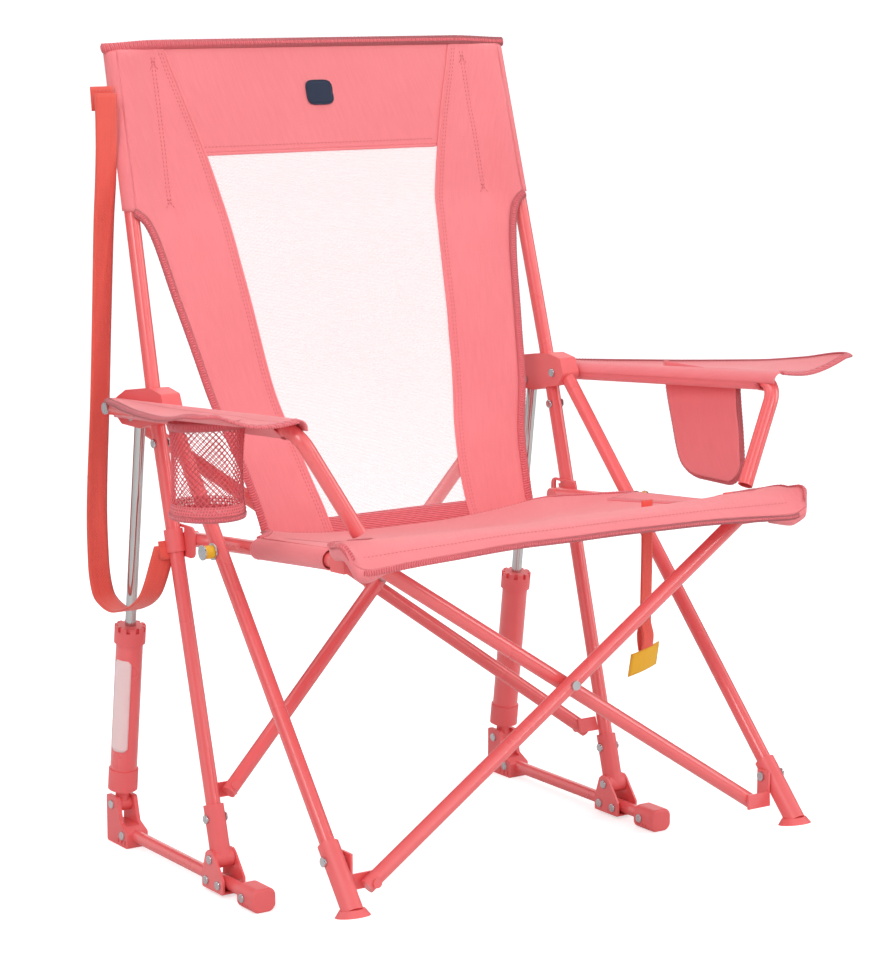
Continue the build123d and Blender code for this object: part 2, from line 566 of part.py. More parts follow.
SEAT_LINE = [(46, 380), (-196, 410), (-262, 423), (-298, 412)]
SEAT_PLAN = [(-232, 46), (-251, -190), (-286, -262), (-286, -296), (0, -302)]
upper = [(y, z + CLOTH) for y, z in SEAT_LINE]
seat_panel = profile_x(SEAT_LINE + upper[::-1], -300, 300)
plan = SEAT_PLAN + [(-x, y) for x, y in SEAT_PLAN[-2::-1]]
seat_panel &= Pos(0, 0, 300) * extrude(make_face(Polyline(*plan, close=True)), 200)
for side in SIDES.values():
    seat_panel -= Pos(side * (POST_END[0] + 1), POST_END[1], 420) * Cylinder(12, 60)
save("seat_panel", seat_panel)


# ---- Carry strap on the left, pull strap under the seat

def ribbon(points, width, thickness):
    """A webbing band through 3-D points, its width along X."""
    band = Part()
    for a, b in zip(points, points[1:]):
        run = Vector(*b) - Vector(*a)
        face = Vector(1, 0, 0).cross(run).normalized()
        plane = Plane(origin=between(a, b, 0.5), x_dir=run.cross(face), z_dir=face)
        band += plane * Box(width, run.length, thickness)
    for x, y, z in points:
        band += bar_x(x - width / 2, x + width / 2, y, z, thickness / 2)
    return band


strap_top = (284.0, upright_y(STRAP_TOP_Z) - 2, STRAP_TOP_Z)
strap_end = (296.0, upright_y(STRAP_END_Z), STRAP_END_Z)
strap_route = [strap_top, (284, 203, 790), (285, 203, 700), (288, 210, 600), (292, 212, 500), (296, 210, 400),
               (296, 205, 330), (296, 190, 294), (296, 160, 279), (296, 130, 290), (296, 104, 320), strap_end]
carry = ribbon(strap_route, STRAP_W, STRAP_T)
tab_y = (strap_top[1] - STRAP_T / 2, strap_top[1] + STRAP_T / 2)
sleeve_side = upright_point(STRAP_TOP_Z)[0] + SLEEVE_OUT
carry += box((sleeve_side, strap_top[0]), tab_y, (STRAP_TOP_Z - 12, STRAP_TOP_Z))
tab_y = (strap_end[1] - STRAP_T / 2, strap_end[1] + STRAP_T / 2)
carry += box((FRAME_X + TUBE_R + LUG_T + 0.1, strap_end[0]), tab_y, (STRAP_END_Z - 12, STRAP_END_Z))
save("carry_strap", mirror(carry, about=Plane.YZ))

PULL_W = 15.0
PULL_T = 1.6
pull_route = [(0, 403), (0, 268), (-6, 250), (0, 234), (6, 250), (0, 268)]
pull_strap = ribbon([(PULL[0], PULL[1] + dy, z) for dy, z in pull_route], PULL_W, PULL_T)
save("pull_strap", pull_strap)
tab = box((PULL[0] - 33, PULL[0] - 3), (PULL[1] - 2, PULL[1] + 2), (208, 231))
save("pull_tab", fillet(tab.edges().filter_by(Axis.Y), 4))
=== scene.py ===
from math import cos, hypot, pi, radians, sin

import bpy
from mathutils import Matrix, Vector, noise


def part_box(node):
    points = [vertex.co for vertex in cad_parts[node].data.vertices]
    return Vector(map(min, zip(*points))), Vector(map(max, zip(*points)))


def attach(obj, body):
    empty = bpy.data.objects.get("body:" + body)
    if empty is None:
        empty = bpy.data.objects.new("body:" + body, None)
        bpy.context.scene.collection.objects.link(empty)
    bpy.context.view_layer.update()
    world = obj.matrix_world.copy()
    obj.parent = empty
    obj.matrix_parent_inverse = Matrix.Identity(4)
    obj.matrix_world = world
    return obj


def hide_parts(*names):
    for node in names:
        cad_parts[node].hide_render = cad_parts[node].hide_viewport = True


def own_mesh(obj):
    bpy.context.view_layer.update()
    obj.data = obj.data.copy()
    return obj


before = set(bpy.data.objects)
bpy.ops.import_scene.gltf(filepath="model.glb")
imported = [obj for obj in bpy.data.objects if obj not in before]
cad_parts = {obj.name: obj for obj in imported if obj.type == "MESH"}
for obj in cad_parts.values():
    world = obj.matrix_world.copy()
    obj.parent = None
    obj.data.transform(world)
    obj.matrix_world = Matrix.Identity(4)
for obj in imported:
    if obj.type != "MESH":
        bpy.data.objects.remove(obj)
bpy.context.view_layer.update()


# Painted steel tubes. The rails, uprights, legs, braces, links, seat rails, arm tubes and spring barrels are
# steel with a glossy coral powder coat, which flows out to a faint orange peel and is a shade uneven.

def texture_group(name, inputs, outputs):
    """An empty node group with named float or colour sockets, its tree, and its input and output nodes."""
    tree = bpy.data.node_groups.new(name, "ShaderNodeTree")
    for label, kind, value in inputs:
        socket = tree.interface.new_socket(label, in_out="INPUT", socket_type=kind)
        socket.default_value = value
    for label, kind in outputs:
        tree.interface.new_socket(label, in_out="OUTPUT", socket_type=kind)
    return tree, tree.nodes.new("NodeGroupInput"), tree.nodes.new("NodeGroupOutput")


def math_node(tree, operation, first, second=None):
    """A math node fed by sockets or numbers. Returns its output socket."""
    node = tree.nodes.new("ShaderNodeMath")
    node.operation = operation
    for slot_number, value in enumerate((first, second)):
        if value is None:
            continue
        if isinstance(value, (int, float)):
            node.inputs[slot_number].default_value = value
        else:
            tree.links.new(value, node.inputs[slot_number])
    return node.outputs[0]


def mix_colour(tree, share, dark, light):
    """A colour mix between two plain colours. Returns its output socket."""
    node = tree.nodes.new("ShaderNodeMix")
    node.data_type = "RGBA"
    tree.links.new(share, node.inputs["Factor"])
    node.inputs["A"].default_value = (*dark, 1)
    node.inputs["B"].default_value = (*light, 1)
    return node.outputs["Result"]


def shaded(name, roughness):
    """A new material, its tree and its Principled shader."""
    material = bpy.data.materials.new(name)
    material.use_nodes = True
    shader = material.node_tree.nodes["Principled BSDF"]
    shader.inputs["Roughness"].default_value = roughness
    return material, material.node_tree, shader


def bump(tree, shader, height, strength, distance):
    """Feed a height into the shader's normal."""
    node = tree.nodes.new("ShaderNodeBump")
    node.inputs["Strength"].default_value = strength
    node.inputs["Distance"].default_value = distance
    tree.links.new(height, node.inputs["Height"])
    tree.links.new(node.outputs["Normal"], shader.inputs["Normal"])


grain_tree, grain_in, grain_out = texture_group(
    "surface grain",
    [("Grain Scale", "NodeSocketFloat", 900.0), ("Patch Scale", "NodeSocketFloat", 14.0)],
    [("Height", "NodeSocketFloat"), ("Patches", "NodeSocketFloat")])
place = grain_tree.nodes.new("ShaderNodeTexCoord")
for socket_name, output, detail in (("Grain Scale", "Height", 3.0), ("Patch Scale", "Patches", 4.0)):
    clouds = grain_tree.nodes.new("ShaderNodeTexNoise")
    clouds.inputs["Detail"].default_value = detail
    grain_tree.links.new(place.outputs["Object"], clouds.inputs["Vector"])
    grain_tree.links.new(grain_in.outputs[socket_name], clouds.inputs["Scale"])
    grain_tree.links.new(clouds.outputs["Fac"], grain_out.inputs[output])


def grain(tree, scale, patch):
    """The surface grain group placed in a material."""
    node = tree.nodes.new("ShaderNodeGroup")
    node.node_tree = grain_tree
    node.inputs["Grain Scale"].default_value = scale
    node.inputs["Patch Scale"].default_value = patch
    return node


def rough_range(tree, shader, source, low, high):
    """Roughness that wanders between two values."""
    node = tree.nodes.new("ShaderNodeMapRange")
    node.inputs["From Min"].default_value = 0.3
    node.inputs["From Max"].default_value = 0.7
    node.inputs["To Min"].default_value = low
    node.inputs["To Max"].default_value = high
    tree.links.new(source, node.inputs["Value"])
    tree.links.new(node.outputs["Result"], shader.inputs["Roughness"])


coat, tree, shader = shaded("coral powder coat", 0.3)
texture = grain(tree, 420.0, 9.0)
tree.links.new(mix_colour(tree, texture.outputs["Patches"], (0.86, 0.125, 0.128), (0.94, 0.165, 0.168)),
               shader.inputs["Base Color"])
rough_range(tree, shader, texture.outputs["Patches"], 0.24, 0.36)
shader.inputs["Coat Weight"].default_value = 0.6
shader.inputs["Coat Roughness"].default_value = 0.12
bump(tree, shader, texture.outputs["Height"], 0.10, 0.0004)


def finish_nodes(material, *names):
    """Give CAD nodes a material. A name without _left or _right stands for both sides."""
    for name in names:
        for node in (name, f"{name}_left", f"{name}_right"):
            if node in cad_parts:
                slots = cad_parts[node].data.materials
                slots.clear()
                slots.append(material)


finish_nodes(coat, "ground_rail", "pivot_bracket", "cylinder_barrel", "upright", "front_leg", "front_link",
             "rear_link", "seat_rail", "arm_tube", "front_brace_front", "front_brace_back",
             "rear_brace_front",
             "rear_brace_back")


# Moulded nylon ends. Rail caps and brackets, feet, arm brackets, seat lugs and corners and the cylinder's
# foot and guide cap are coral nylon with a fine spark-eroded grain and less gloss than the tubes.

nylon, tree, shader = shaded("coral nylon", 0.42)
texture = grain(tree, 1500.0, 22.0)
tree.links.new(mix_colour(tree, texture.outputs["Patches"], (0.84, 0.13, 0.135), (0.93, 0.175, 0.178)),
               shader.inputs["Base Color"])
rough_range(tree, shader, texture.outputs["Patches"], 0.36, 0.5)
bump(tree, shader, texture.outputs["Height"], 0.16, 0.0003)
finish_nodes(nylon, "rail_front_cap", "rail_rear_bracket", "upright_foot", "front_foot", "arm_bracket",
             "seat_lug",
             "seat_corner", "cylinder_foot", "cylinder_cap")


# Bright metal. The piston rods are hard chrome on ground steel; screws, rivets and bolts are zinc plated.

chrome, tree, shader = shaded("hard chrome", 0.1)
texture = grain(tree, 700.0, 30.0)
tree.links.new(mix_colour(tree, texture.outputs["Patches"], (0.50, 0.49, 0.48), (0.66, 0.65, 0.64)),
               shader.inputs["Base Color"])
rough_range(tree, shader, texture.outputs["Patches"], 0.07, 0.14)
shader.inputs["Metallic"].default_value = 1.0
finish_nodes(chrome, "piston_rod")

zinc, tree, shader = shaded("bright zinc plate", 0.25)
texture = grain(tree, 1100.0, 60.0)
tree.links.new(mix_colour(tree, texture.outputs["Patches"], (0.5, 0.5, 0.52), (0.7, 0.7, 0.71)),
               shader.inputs["Base Color"])
rough_range(tree, shader, texture.outputs["Patches"], 0.2, 0.36)
shader.inputs["Metallic"].default_value = 1.0
bump(tree, shader, texture.outputs["Height"], 0.12, 0.0002)
finish_nodes(zinc, "rail_screws", "frame_screws", "front_centre_bolt", "rear_centre_bolt")


# Yellow nylon bushings on the front legs, between two bright washers.

yellow_nylon, tree, shader = shaded("yellow nylon", 0.35)
texture = grain(tree, 1300.0, 40.0)
tree.links.new(mix_colour(tree, texture.outputs["Patches"], (0.9, 0.47, 0.01), (0.96, 0.6, 0.03)),
               shader.inputs["Base Color"])
bump(tree, shader, texture.outputs["Height"], 0.12, 0.0003)
finish_nodes(yellow_nylon, "leg_bushing")


# The back. A woven coral top band and two side panels frame a fine open mesh. Sleeves at the panels' upper
# outer edges slide over the uprights. All are cut from flat cloth, sewn together and bound at the edges.

PLATE_BEHIND = 0.027        # the pivot bracket reaches this far in front of the rocking axle
axle_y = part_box("pivot_bracket_left")[0].y + PLATE_BEHIND
CLOTH_T = 0.0009
UPRIGHT_X = 262.0
UPRIGHT_TOP = 880.0
UPRIGHT_BEND = 505           # the uprights lean in from here up
UPRIGHT_LEAN = 10.6
SLEEVE_R = 9.6
SEAM_INSIDE = 48.0          # the row of stitches that closes a sleeve, from its tube
SLEEVE_Z = 712.0            # lower end of the sleeves
SLEEVE_TOP = 884.5
SLEEVE_CLOSING = 1.6         # how fast a sleeve narrows above its tube
MESH_TOP = 771.0
MESH_FOOT = 379.0
BACK_FOOT = 360.0


def at(x, y, z):
    """A point in metres from millimetres: x from the middle, y behind the rocking axle, z above the floor."""
    return Vector((x / 1000, y / 1000 + axle_y, z / 1000))


def smooth(points):
    """A smooth curve through (position, value) points that doesn't overshoot them."""
    points = sorted(points)
    spots = [p for p, _ in points]
    values = [v for _, v in points]
    steps = [(values[i + 1] - values[i]) / (spots[i + 1] - spots[i]) for i in range(len(spots) - 1)]
    inside = [2 * a * b / (a + b) if a * b > 0 else 0.0 for a, b in zip(steps, steps[1:])]
    slopes = [steps[0], *inside, steps[-1]]

    def value_at(spot):
        spot = min(max(spot, spots[0]), spots[-1])
        i = max(k for k in range(len(steps)) if spots[k] <= spot)
        width = spots[i + 1] - spots[i]
        t = (spot - spots[i]) / width
        low = (1 + 2 * t) * (1 - t) ** 2 * values[i] + t * (1 - t) ** 2 * width * slopes[i]
        return low + t * t * (3 - 2 * t) * values[i + 1] + t * t * (t - 1) * width * slopes[i + 1]

    return value_at


def steps_between(low, high, count):
    """Evenly spaced values from low to high, both included."""
    return [low + (high - low) * i / (count - 1) for i in range(count)]


def cloth_coordinates(mesh, rows, columns, closed=False):
    """UVs in metres along and across the cloth, so that a weave has its real size."""
    down = [0.0] * columns
    flat = []
    for r in range(rows):
        along = 0.0
        for c in range(columns):
            here = mesh.vertices[r * columns + c].co
            if c:
                along += (here - mesh.vertices[r * columns + c - 1].co).length
            if r:
                down[c] += (here - mesh.vertices[(r - 1) * columns + c].co).length
            flat.append((along, down[c]))
    layer = mesh.uv_layers.new(name="Cloth")
    for loop in mesh.loops:
        layer.data[loop.index].uv = flat[loop.vertex_index]


def sheet_mesh(name, rows, material, thickness=CLOTH_T, levels=0):
    """A sheet of cloth through rows of points, with its thickness as a modifier."""
    columns = len(rows[0])
    points = [p for row in rows for p in row]
    faces = [(r * columns + c, r * columns + c + 1, (r + 1) * columns + c + 1, (r + 1) * columns + c)
             for r in range(len(rows) - 1) for c in range(columns - 1)]
    mesh = bpy.data.meshes.new(name)
    mesh.from_pydata([tuple(p) for p in points], [], faces)
    mesh.shade_smooth()
    cloth_coordinates(mesh, len(rows), columns)
    mesh.materials.append(material)
    piece = bpy.data.objects.new(name, mesh)
    bpy.context.scene.collection.objects.link(piece)
    if levels:
        piece.modifiers.new("Smooth cloth", "SUBSURF").levels = levels
        piece.modifiers["Smooth cloth"].render_levels = levels
    if thickness:
        solid = piece.modifiers.new("Cloth thickness", "SOLIDIFY")
        solid.thickness = thickness
        solid.offset = 0
    return piece


def spaced(path, step):
    """(point, normal) pairs at even steps along a path of such pairs."""
    found = [path[0]]
    left = step
    for (a, na), (b, nb) in zip(path, path[1:]):
        length = (b - a).length
        while left <= length and length > 0:
            t = left / length
            found.append((a.lerp(b, t), na.lerp(nb, t).normalized()))
            left += step
        left -= length
    return found


def tape(name, path, width, thickness, material, rib=0.0, rib_pitch=0.0042, corners=10):
    """A flat tape along a path of (point, normal) pairs, its section a flattened round, with cross ribs."""
    path = spaced(path, rib_pitch / 3 if rib else 0.004)
    points = []
    for i, (p, n) in enumerate(path):
        ahead = path[min(i + 1, len(path) - 1)][0] - path[max(i - 1, 0)][0]
        side = ahead.cross(n).normalized()
        swell = 1 + rib * (1 if i % 3 == 1 else -0.5)
        end = 0.55 if i in (0, len(path) - 1) else 1.0
        for k in range(corners):
            turn = 2 * pi * k / corners
            across = cos(turn) * width / 2 * end * (1 + (swell - 1) * 0.15)
            points.append(p + side * across + n * (sin(turn) * thickness / 2 * swell * end))
    rings = len(path)
    faces = [(r * corners + k, r * corners + (k + 1) % corners, (r + 1) * corners + (k + 1) % corners,
              (r + 1) * corners + k) for r in range(rings - 1) for k in range(corners)]
    faces.append(tuple(range(corners - 1, -1, -1)))
    faces.append(tuple((rings - 1) * corners + k for k in range(corners)))
    mesh = bpy.data.meshes.new(name)
    mesh.from_pydata([tuple(p) for p in points], [], faces)
    mesh.shade_smooth()
    cloth_coordinates(mesh, rings, corners)
    mesh.materials.append(material)
    piece = bpy.data.objects.new(name, mesh)
    bpy.context.scene.collection.objects.link(piece)
    return piece


def stitches(name, paths, material, pitch=0.0046, length=0.0032, width=0.0010, height=0.0007):
    """Rows of single stitches along paths of (point, normal) pairs, all in one mesh."""
    points = []
    faces = []
    for path in paths:
        spots = spaced(path, pitch)
        for i in range(len(spots) - 1):
            p, n = spots[i]
            along = (spots[i + 1][0] - p).normalized()
            side = along.cross(n).normalized()
            base = len(points)
            for forward, across, up in ((0, 0, 0), (0.28, 1, 0), (0.72, 1, 0), (1, 0, 0), (0.72, -1, 0),
                                        (0.28, -1, 0),
                                        (0.3, 0, 1), (0.7, 0, 1)):
                points.append(p + along * (forward * length) + side * (across * width / 2) +
                              n * (up * height))
            faces += [tuple(base + k for k in face) for face in
                      ((0, 1, 6), (1, 2, 7, 6), (2, 3, 7), (3, 4, 7), (4, 5, 6, 7), (5, 0, 6))]
    mesh = bpy.data.meshes.new(name)
    mesh.from_pydata([tuple(p) for p in points], [], faces)
    mesh.shade_smooth()
    mesh.materials.append(material)
    piece = bpy.data.objects.new(name, mesh)
    bpy.context.scene.collection.objects.link(piece)
    return piece


weave_tree, weave_in, weave_out = texture_group(
    "plain weave",
    [("Threads per Metre", "NodeSocketFloat", 1500.0), ("Streak Scale", "NodeSocketFloat", 60.0)],
    [("Height", "NodeSocketFloat"), ("Streaks", "NodeSocketFloat"), ("Cover", "NodeSocketFloat")])
cloth_uv = weave_tree.nodes.new("ShaderNodeUVMap")
cloth_uv.uv_map = "Cloth"
split = weave_tree.nodes.new("ShaderNodeSeparateXYZ")
weave_tree.links.new(cloth_uv.outputs["UV"], split.inputs["Vector"])
waves = []
for axis in "XY":
    threads = math_node(weave_tree, "MULTIPLY", split.outputs[axis], weave_in.outputs["Threads per Metre"])
    waves.append(math_node(weave_tree, "SINE", math_node(weave_tree, "MULTIPLY", threads, pi)))
over = math_node(weave_tree, "GREATER_THAN", math_node(weave_tree, "MULTIPLY", *waves), 0.0)
warp = math_node(weave_tree, "ABSOLUTE", waves[0])
weft = math_node(weave_tree, "ABSOLUTE", waves[1])
crown = weave_tree.nodes.new("ShaderNodeMix")
weave_tree.links.new(over, crown.inputs["Factor"])
weave_tree.links.new(warp, crown.inputs["A"])
weave_tree.links.new(weft, crown.inputs["B"])
weave_tree.links.new(crown.outputs["Result"], weave_out.inputs["Height"])
weave_tree.links.new(math_node(weave_tree, "MAXIMUM", math_node(weave_tree, "SUBTRACT", 1.0, warp),
                               math_node(weave_tree, "SUBTRACT", 1.0, weft)), weave_out.inputs["Cover"])
stretch = weave_tree.nodes.new("ShaderNodeMapping")
stretch.inputs["Scale"].default_value = (9.0, 0.6, 1.0)
weave_tree.links.new(cloth_uv.outputs["UV"], stretch.inputs["Vector"])
slubs = weave_tree.nodes.new("ShaderNodeTexNoise")
slubs.inputs["Detail"].default_value = 5.0
weave_tree.links.new(stretch.outputs["Vector"], slubs.inputs["Vector"])
weave_tree.links.new(weave_in.outputs["Streak Scale"], slubs.inputs["Scale"])
weave_tree.links.new(slubs.outputs["Fac"], weave_out.inputs["Streaks"])


def woven(name, dark, light, threads, streaks, strength, roughness, sheen):
    """A woven cloth material, with painted shade between its threads."""
    material, tree, shader = shaded(name, roughness)
    node = tree.nodes.new("ShaderNodeGroup")
    node.node_tree = weave_tree
    node.inputs["Threads per Metre"].default_value = threads
    node.inputs["Streak Scale"].default_value = streaks
    patches = grain(tree, 300.0, 7.0)
    shade = math_node(tree, "MULTIPLY",
                      math_node(tree, "ADD", node.outputs["Streaks"], patches.outputs["Patches"]), 0.5)
    # The thread crowns are painted lighter and the gaps between the threads darker, from the same height as
    # the bump: painted shade in the weave.
    painted_weave_shade = math_node(tree, "MULTIPLY_ADD", node.outputs["Height"], 0.35)
    tree.nodes[-1].inputs[2].default_value = -0.15
    total = math_node(tree, "ADD", shade, painted_weave_shade)
    tree.links.new(mix_colour(tree, total, dark, light), shader.inputs["Base Color"])
    shader.inputs["Sheen Weight"].default_value = sheen
    shader.inputs["Sheen Roughness"].default_value = 0.5
    shader.inputs["Specular IOR Level"].default_value = 0.3
    bump(tree, shader, node.outputs["Height"], strength, 0.0003)
    return material, tree, shader, node


cloth, *_ = woven("coral oxford cloth", (0.82, 0.17, 0.19), (0.98, 0.29, 0.31), 1150.0, 55.0, 0.35, 0.62,
                  0.25)
binding, tree, shader, node = woven("coral ribbed tape", (0.72, 0.115, 0.14), (0.9, 0.2, 0.23), 900.0, 90.0,
                                    0.5, 0.6, 0.3)
rib_tree, rib_in, rib_out = texture_group(
    "cross ribs", [("Ribs per Metre", "NodeSocketFloat", 340.0)], [("Ribs", "NodeSocketFloat")])
tape_uv = rib_tree.nodes.new("ShaderNodeUVMap")
tape_uv.uv_map = "Cloth"
split = rib_tree.nodes.new("ShaderNodeSeparateXYZ")
rib_tree.links.new(tape_uv.outputs["UV"], split.inputs["Vector"])
slant = math_node(rib_tree, "ADD", split.outputs["Y"],
                  math_node(rib_tree, "MULTIPLY", split.outputs["X"], 0.25))
turns = math_node(rib_tree, "MULTIPLY",
                  math_node(rib_tree, "MULTIPLY", slant, rib_in.outputs["Ribs per Metre"]), 2 * pi)
swell = math_node(rib_tree, "MULTIPLY", math_node(rib_tree, "ADD", math_node(rib_tree, "SINE", turns), 1.0),
                  0.5)
rib_tree.links.new(swell, rib_out.inputs["Ribs"])
ribs = tree.nodes.new("ShaderNodeGroup")
ribs.node_tree = rib_tree
mottle = math_node(tree, "MULTIPLY", node.outputs["Streaks"], 0.45)
# The rib crests are painted lighter and the troughs between them darker, from the same ribs as the bump:
# painted shade between the ribs. The mottle is the tape's own uneven tone.
painted_rib_shade = math_node(tree, "MULTIPLY", ribs.outputs["Ribs"], 0.75)
tree.links.new(mix_colour(tree, math_node(tree, "ADD", mottle, painted_rib_shade), (0.62, 0.075, 0.095),
                          (0.9, 0.19, 0.215)),
               shader.inputs["Base Color"])
bump(tree, shader, ribs.outputs["Ribs"], 0.8, 0.0008)
thread, *_ = woven("coral thread", (0.7, 0.13, 0.15), (0.86, 0.24, 0.26), 2400.0, 300.0, 0.3, 0.5, 0.3)

# The open mesh lets most light through: its threads cover about a quarter of it.
back_mesh, tree, shader, node = woven("fine open mesh", (0.88, 0.42, 0.44), (0.96, 0.6, 0.62), 620.0, 40.0,
                                      0.3, 0.7, 0.2)
cover = tree.nodes.new("ShaderNodeMapRange")
cover.inputs["From Min"].default_value = 0.35
cover.inputs["From Max"].default_value = 0.8
cover.inputs["To Min"].default_value = 0.16
cover.inputs["To Max"].default_value = 0.62
tree.links.new(node.outputs["Cover"], cover.inputs["Value"])
tree.links.new(cover.outputs["Result"], shader.inputs["Alpha"])


def upright_y(z):
    """The upright tube's y at a height."""
    return (z - 37) * 234 / 843


back_line = smooth([(330, 34), (372, 50), (450, 81.5), (600, 142), (680, 174), (712, 187.5), (800, 211.8),
                    (883, 234.8),
                    (905, 241)])
sag = smooth([(340, 0), (362, 0), (380, 5), (430, 19), (495, 26), (540, 22), (620, 13), (700, 7), (771, 4),
              (905, 2)])
inner_edge = smooth([(330, 92), (366, 92), (380, 93), (420, 99), (459, 107), (495, 116), (540, 123),
                     (620, 131),
                     (700, 139), (735, 146), (771, 155), (883, 188), (905, 193)])
outer_edge = smooth([(330, 178), (366, 178), (427, 185), (513, 208), (558, 216), (628, 229), (657, 234),
                     (680, 239),
                     (698, 246), (707, 254), (712, 262)])
bulge_by_height = smooth([(600, 0), (690, 0.7), (712, 1)])


def upright_x(z):
    """How far the upright tube is from the middle. It leans in above the arm."""
    return UPRIGHT_X - UPRIGHT_LEAN * max(z - UPRIGHT_BEND, 0) / (UPRIGHT_TOP - UPRIGHT_BEND)


def sleeve_radius(z):
    """The sleeve's radius, which closes over the top of the tube."""
    return SLEEVE_R - max(z - UPRIGHT_TOP, 0) * SLEEVE_CLOSING


def top_z(x):
    """The height of the back's upper edge, which drops where it goes round the uprights."""
    share = min(max((abs(x) - 195) / 75, 0), 1)
    return 892 - 3 * share * share * (3 - 2 * share)


def panel_edge(z):
    """How far the back's front cloth reaches from the middle."""
    return outer_edge(z) if z < SLEEVE_Z else upright_x(z)


def back_point(x, z, forward=0.0):
    """A point on the back. The cloth hangs back in the middle and stands forward where it nears a sleeve."""
    hang = sag(z) * (1 - min(abs(x) / panel_edge(z), 1) ** 2)
    toward_sleeve = min(max((abs(x) - upright_x(z) + SEAM_INSIDE) / SEAM_INSIDE, 0), 1)
    bulge = sleeve_radius(z) * toward_sleeve ** 2 * (3 - 2 * toward_sleeve) * bulge_by_height(z)
    crease = 1.6 * noise.noise(Vector((x / 90, z / 60, 3.0))) + 0.7 * noise.noise(Vector((x / 30, z / 45,
                                                                                          8.0)))
    corner = 2.2 * sin((abs(x) - 0.55 * z) / 16) * max(0, 1 - abs(z - 420) / 110) * max(0,
                                                                                        (abs(x) - 95) / 100)
    return at(x, back_line(z) + hang - bulge + crease + corner - forward, z)


BACK_NORMAL = Vector((0, -0.963, 0.267))
seam_pieces = []
back_pieces = []
for side, word in ((-1, "left"), (1, "right")):
    rows = []
    for z in [*steps_between(BACK_FOOT, UPRIGHT_TOP, 104), 881.5, 883, SLEEVE_TOP, 887]:
        row = []
        for x in steps_between(inner_edge(z), panel_edge(z), 30):
            lift = 1.4 * min((panel_edge(z) - x) / 20, 1)
            row.append(back_point(side * x, min(z, top_z(x) - 4.5), lift))
        rows.append(row)
    lower = sheet_mesh(f"back_side_panel_{word}", rows, cloth)
    rows = []
    for z in [*steps_between(SLEEVE_Z, UPRIGHT_TOP, 36), 881.5, 883, SLEEVE_TOP]:
        radius = sleeve_radius(z)
        row = []
        for step in steps_between(-92, 90, 20):
            turn = radians(step)
            row.append(at(side * (upright_x(z) + radius * cos(turn)), upright_y(z) + radius * sin(turn), z))
        for x in steps_between(upright_x(z) - 10, upright_x(z) - SEAM_INSIDE, 8):
            t = (x - upright_x(z) + SEAM_INSIDE) / SEAM_INSIDE
            row.append(at(side * x, upright_y(z) + 1.5 + (radius - 1.5) * t, z))
        rows.append(row)
    upper = sheet_mesh(f"back_sleeve_{word}", rows, cloth)
    back_pieces += [lower, upper]
    heights = steps_between(BACK_FOOT, SLEEVE_Z, 60)
    edge = [(back_point(side * (outer_edge(z) - 3), z, 1.2), BACK_NORMAL) for z in heights]
    seam_pieces.append(tape(f"back_side_binding_{word}", edge, 0.010, 0.0030, binding, rib=0.28))
    heights = steps_between(BACK_FOOT, 884, 90)
    edge = [(back_point(side * inner_edge(z), z, 1.9), BACK_NORMAL) for z in heights]
    seam_pieces.append(tape(f"back_panel_fold_{word}", edge, 0.0035, 0.0017, cloth))
    lines = [[(back_point(side * (inner_edge(z) + gap), z, 2.0), BACK_NORMAL) for z in heights]
             for gap in (5, 8.5)]
    lines += [[(back_point(side * (upright_x(z) - gap), z, 2.0), BACK_NORMAL) for z in
               steps_between(SLEEVE_Z + 4, 880, 40)] for gap in (SEAM_INSIDE - 2, SEAM_INSIDE + 2)]
    for z in (SLEEVE_Z + 8, 868):
        for lean in (-1, 1):
            lines.append([(back_point(side * (upright_x(z) - SEAM_INSIDE + lean * t * 5), z + t * 7, 2.2),
                           BACK_NORMAL) for t in steps_between(-1, 1, 6)])
    seam_pieces.append(stitches(f"back_panel_stitches_{word}", lines, thread))

rows = []
for share in steps_between(0, 1, 30):
    row = []
    for across in steps_between(-1, 1, 60):
        z_guess = MESH_TOP + (892 - MESH_TOP) * share
        x = across * (inner_edge(z_guess) + 3)
        z = MESH_TOP - 3 + (top_z(x) - 4 - MESH_TOP + 3) * share
        row.append(back_point(x, z, 0.7))
    rows.append(row)
top_band = sheet_mesh("back_top_band", rows, cloth)
mesh_rows = [[back_point(across * (inner_edge(z) + 4), z) for across in steps_between(-1, 1, 50)]
             for z in steps_between(MESH_FOOT - 3, MESH_TOP + 4, 70)]
mesh_panel = sheet_mesh("back_mesh_panel", mesh_rows, back_mesh, thickness=0)
foot_rows = [[back_point(across * (inner_edge(z) + 3), z, 0.6) for across in steps_between(-1, 1, 50)]
             for z in steps_between(BACK_FOOT - 6, MESH_FOOT, 8)]
foot_band = sheet_mesh("back_foot_band", foot_rows, binding)

edge = []
TOP_BINDING_REACH = 266
for x in steps_between(-TOP_BINDING_REACH, TOP_BINDING_REACH, 120):
    z = top_z(x) - 4.2
    edge.append((back_point(x, min(z, SLEEVE_TOP), 0.6) + Vector((0, 0, (z - min(z, SLEEVE_TOP)) / 1000)),
                 BACK_NORMAL))
seam_pieces.append(tape("back_top_binding", edge, 0.0108, 0.0062, binding, rib=0.22, rib_pitch=0.0048))
line = [(back_point(x, MESH_TOP + 5, 1.4), BACK_NORMAL) for x in steps_between(-154, 154, 40)]
seam_pieces.append(stitches("back_band_stitches", [line], thread))
line = [(back_point(x, MESH_TOP - 3, 1.1), BACK_NORMAL) for x in steps_between(-155, 155, 40)]
seam_pieces.append(tape("back_band_fold", line, 0.0030, 0.0014, cloth))


def rides_back(piece):
    """The back hangs from the left upright."""
    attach(piece, "frame_left")
    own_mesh(piece)


for piece in [back_pieces[0], back_pieces[2], *seam_pieces, top_band, mesh_panel, foot_band]:
    rides_back(piece)
for sleeve, word in ((back_pieces[1], "left"), (back_pieces[3], "right")):
    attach(sleeve, f"frame_{word}")
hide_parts("back_panel")


# A small plain woven patch sewn to the top band.

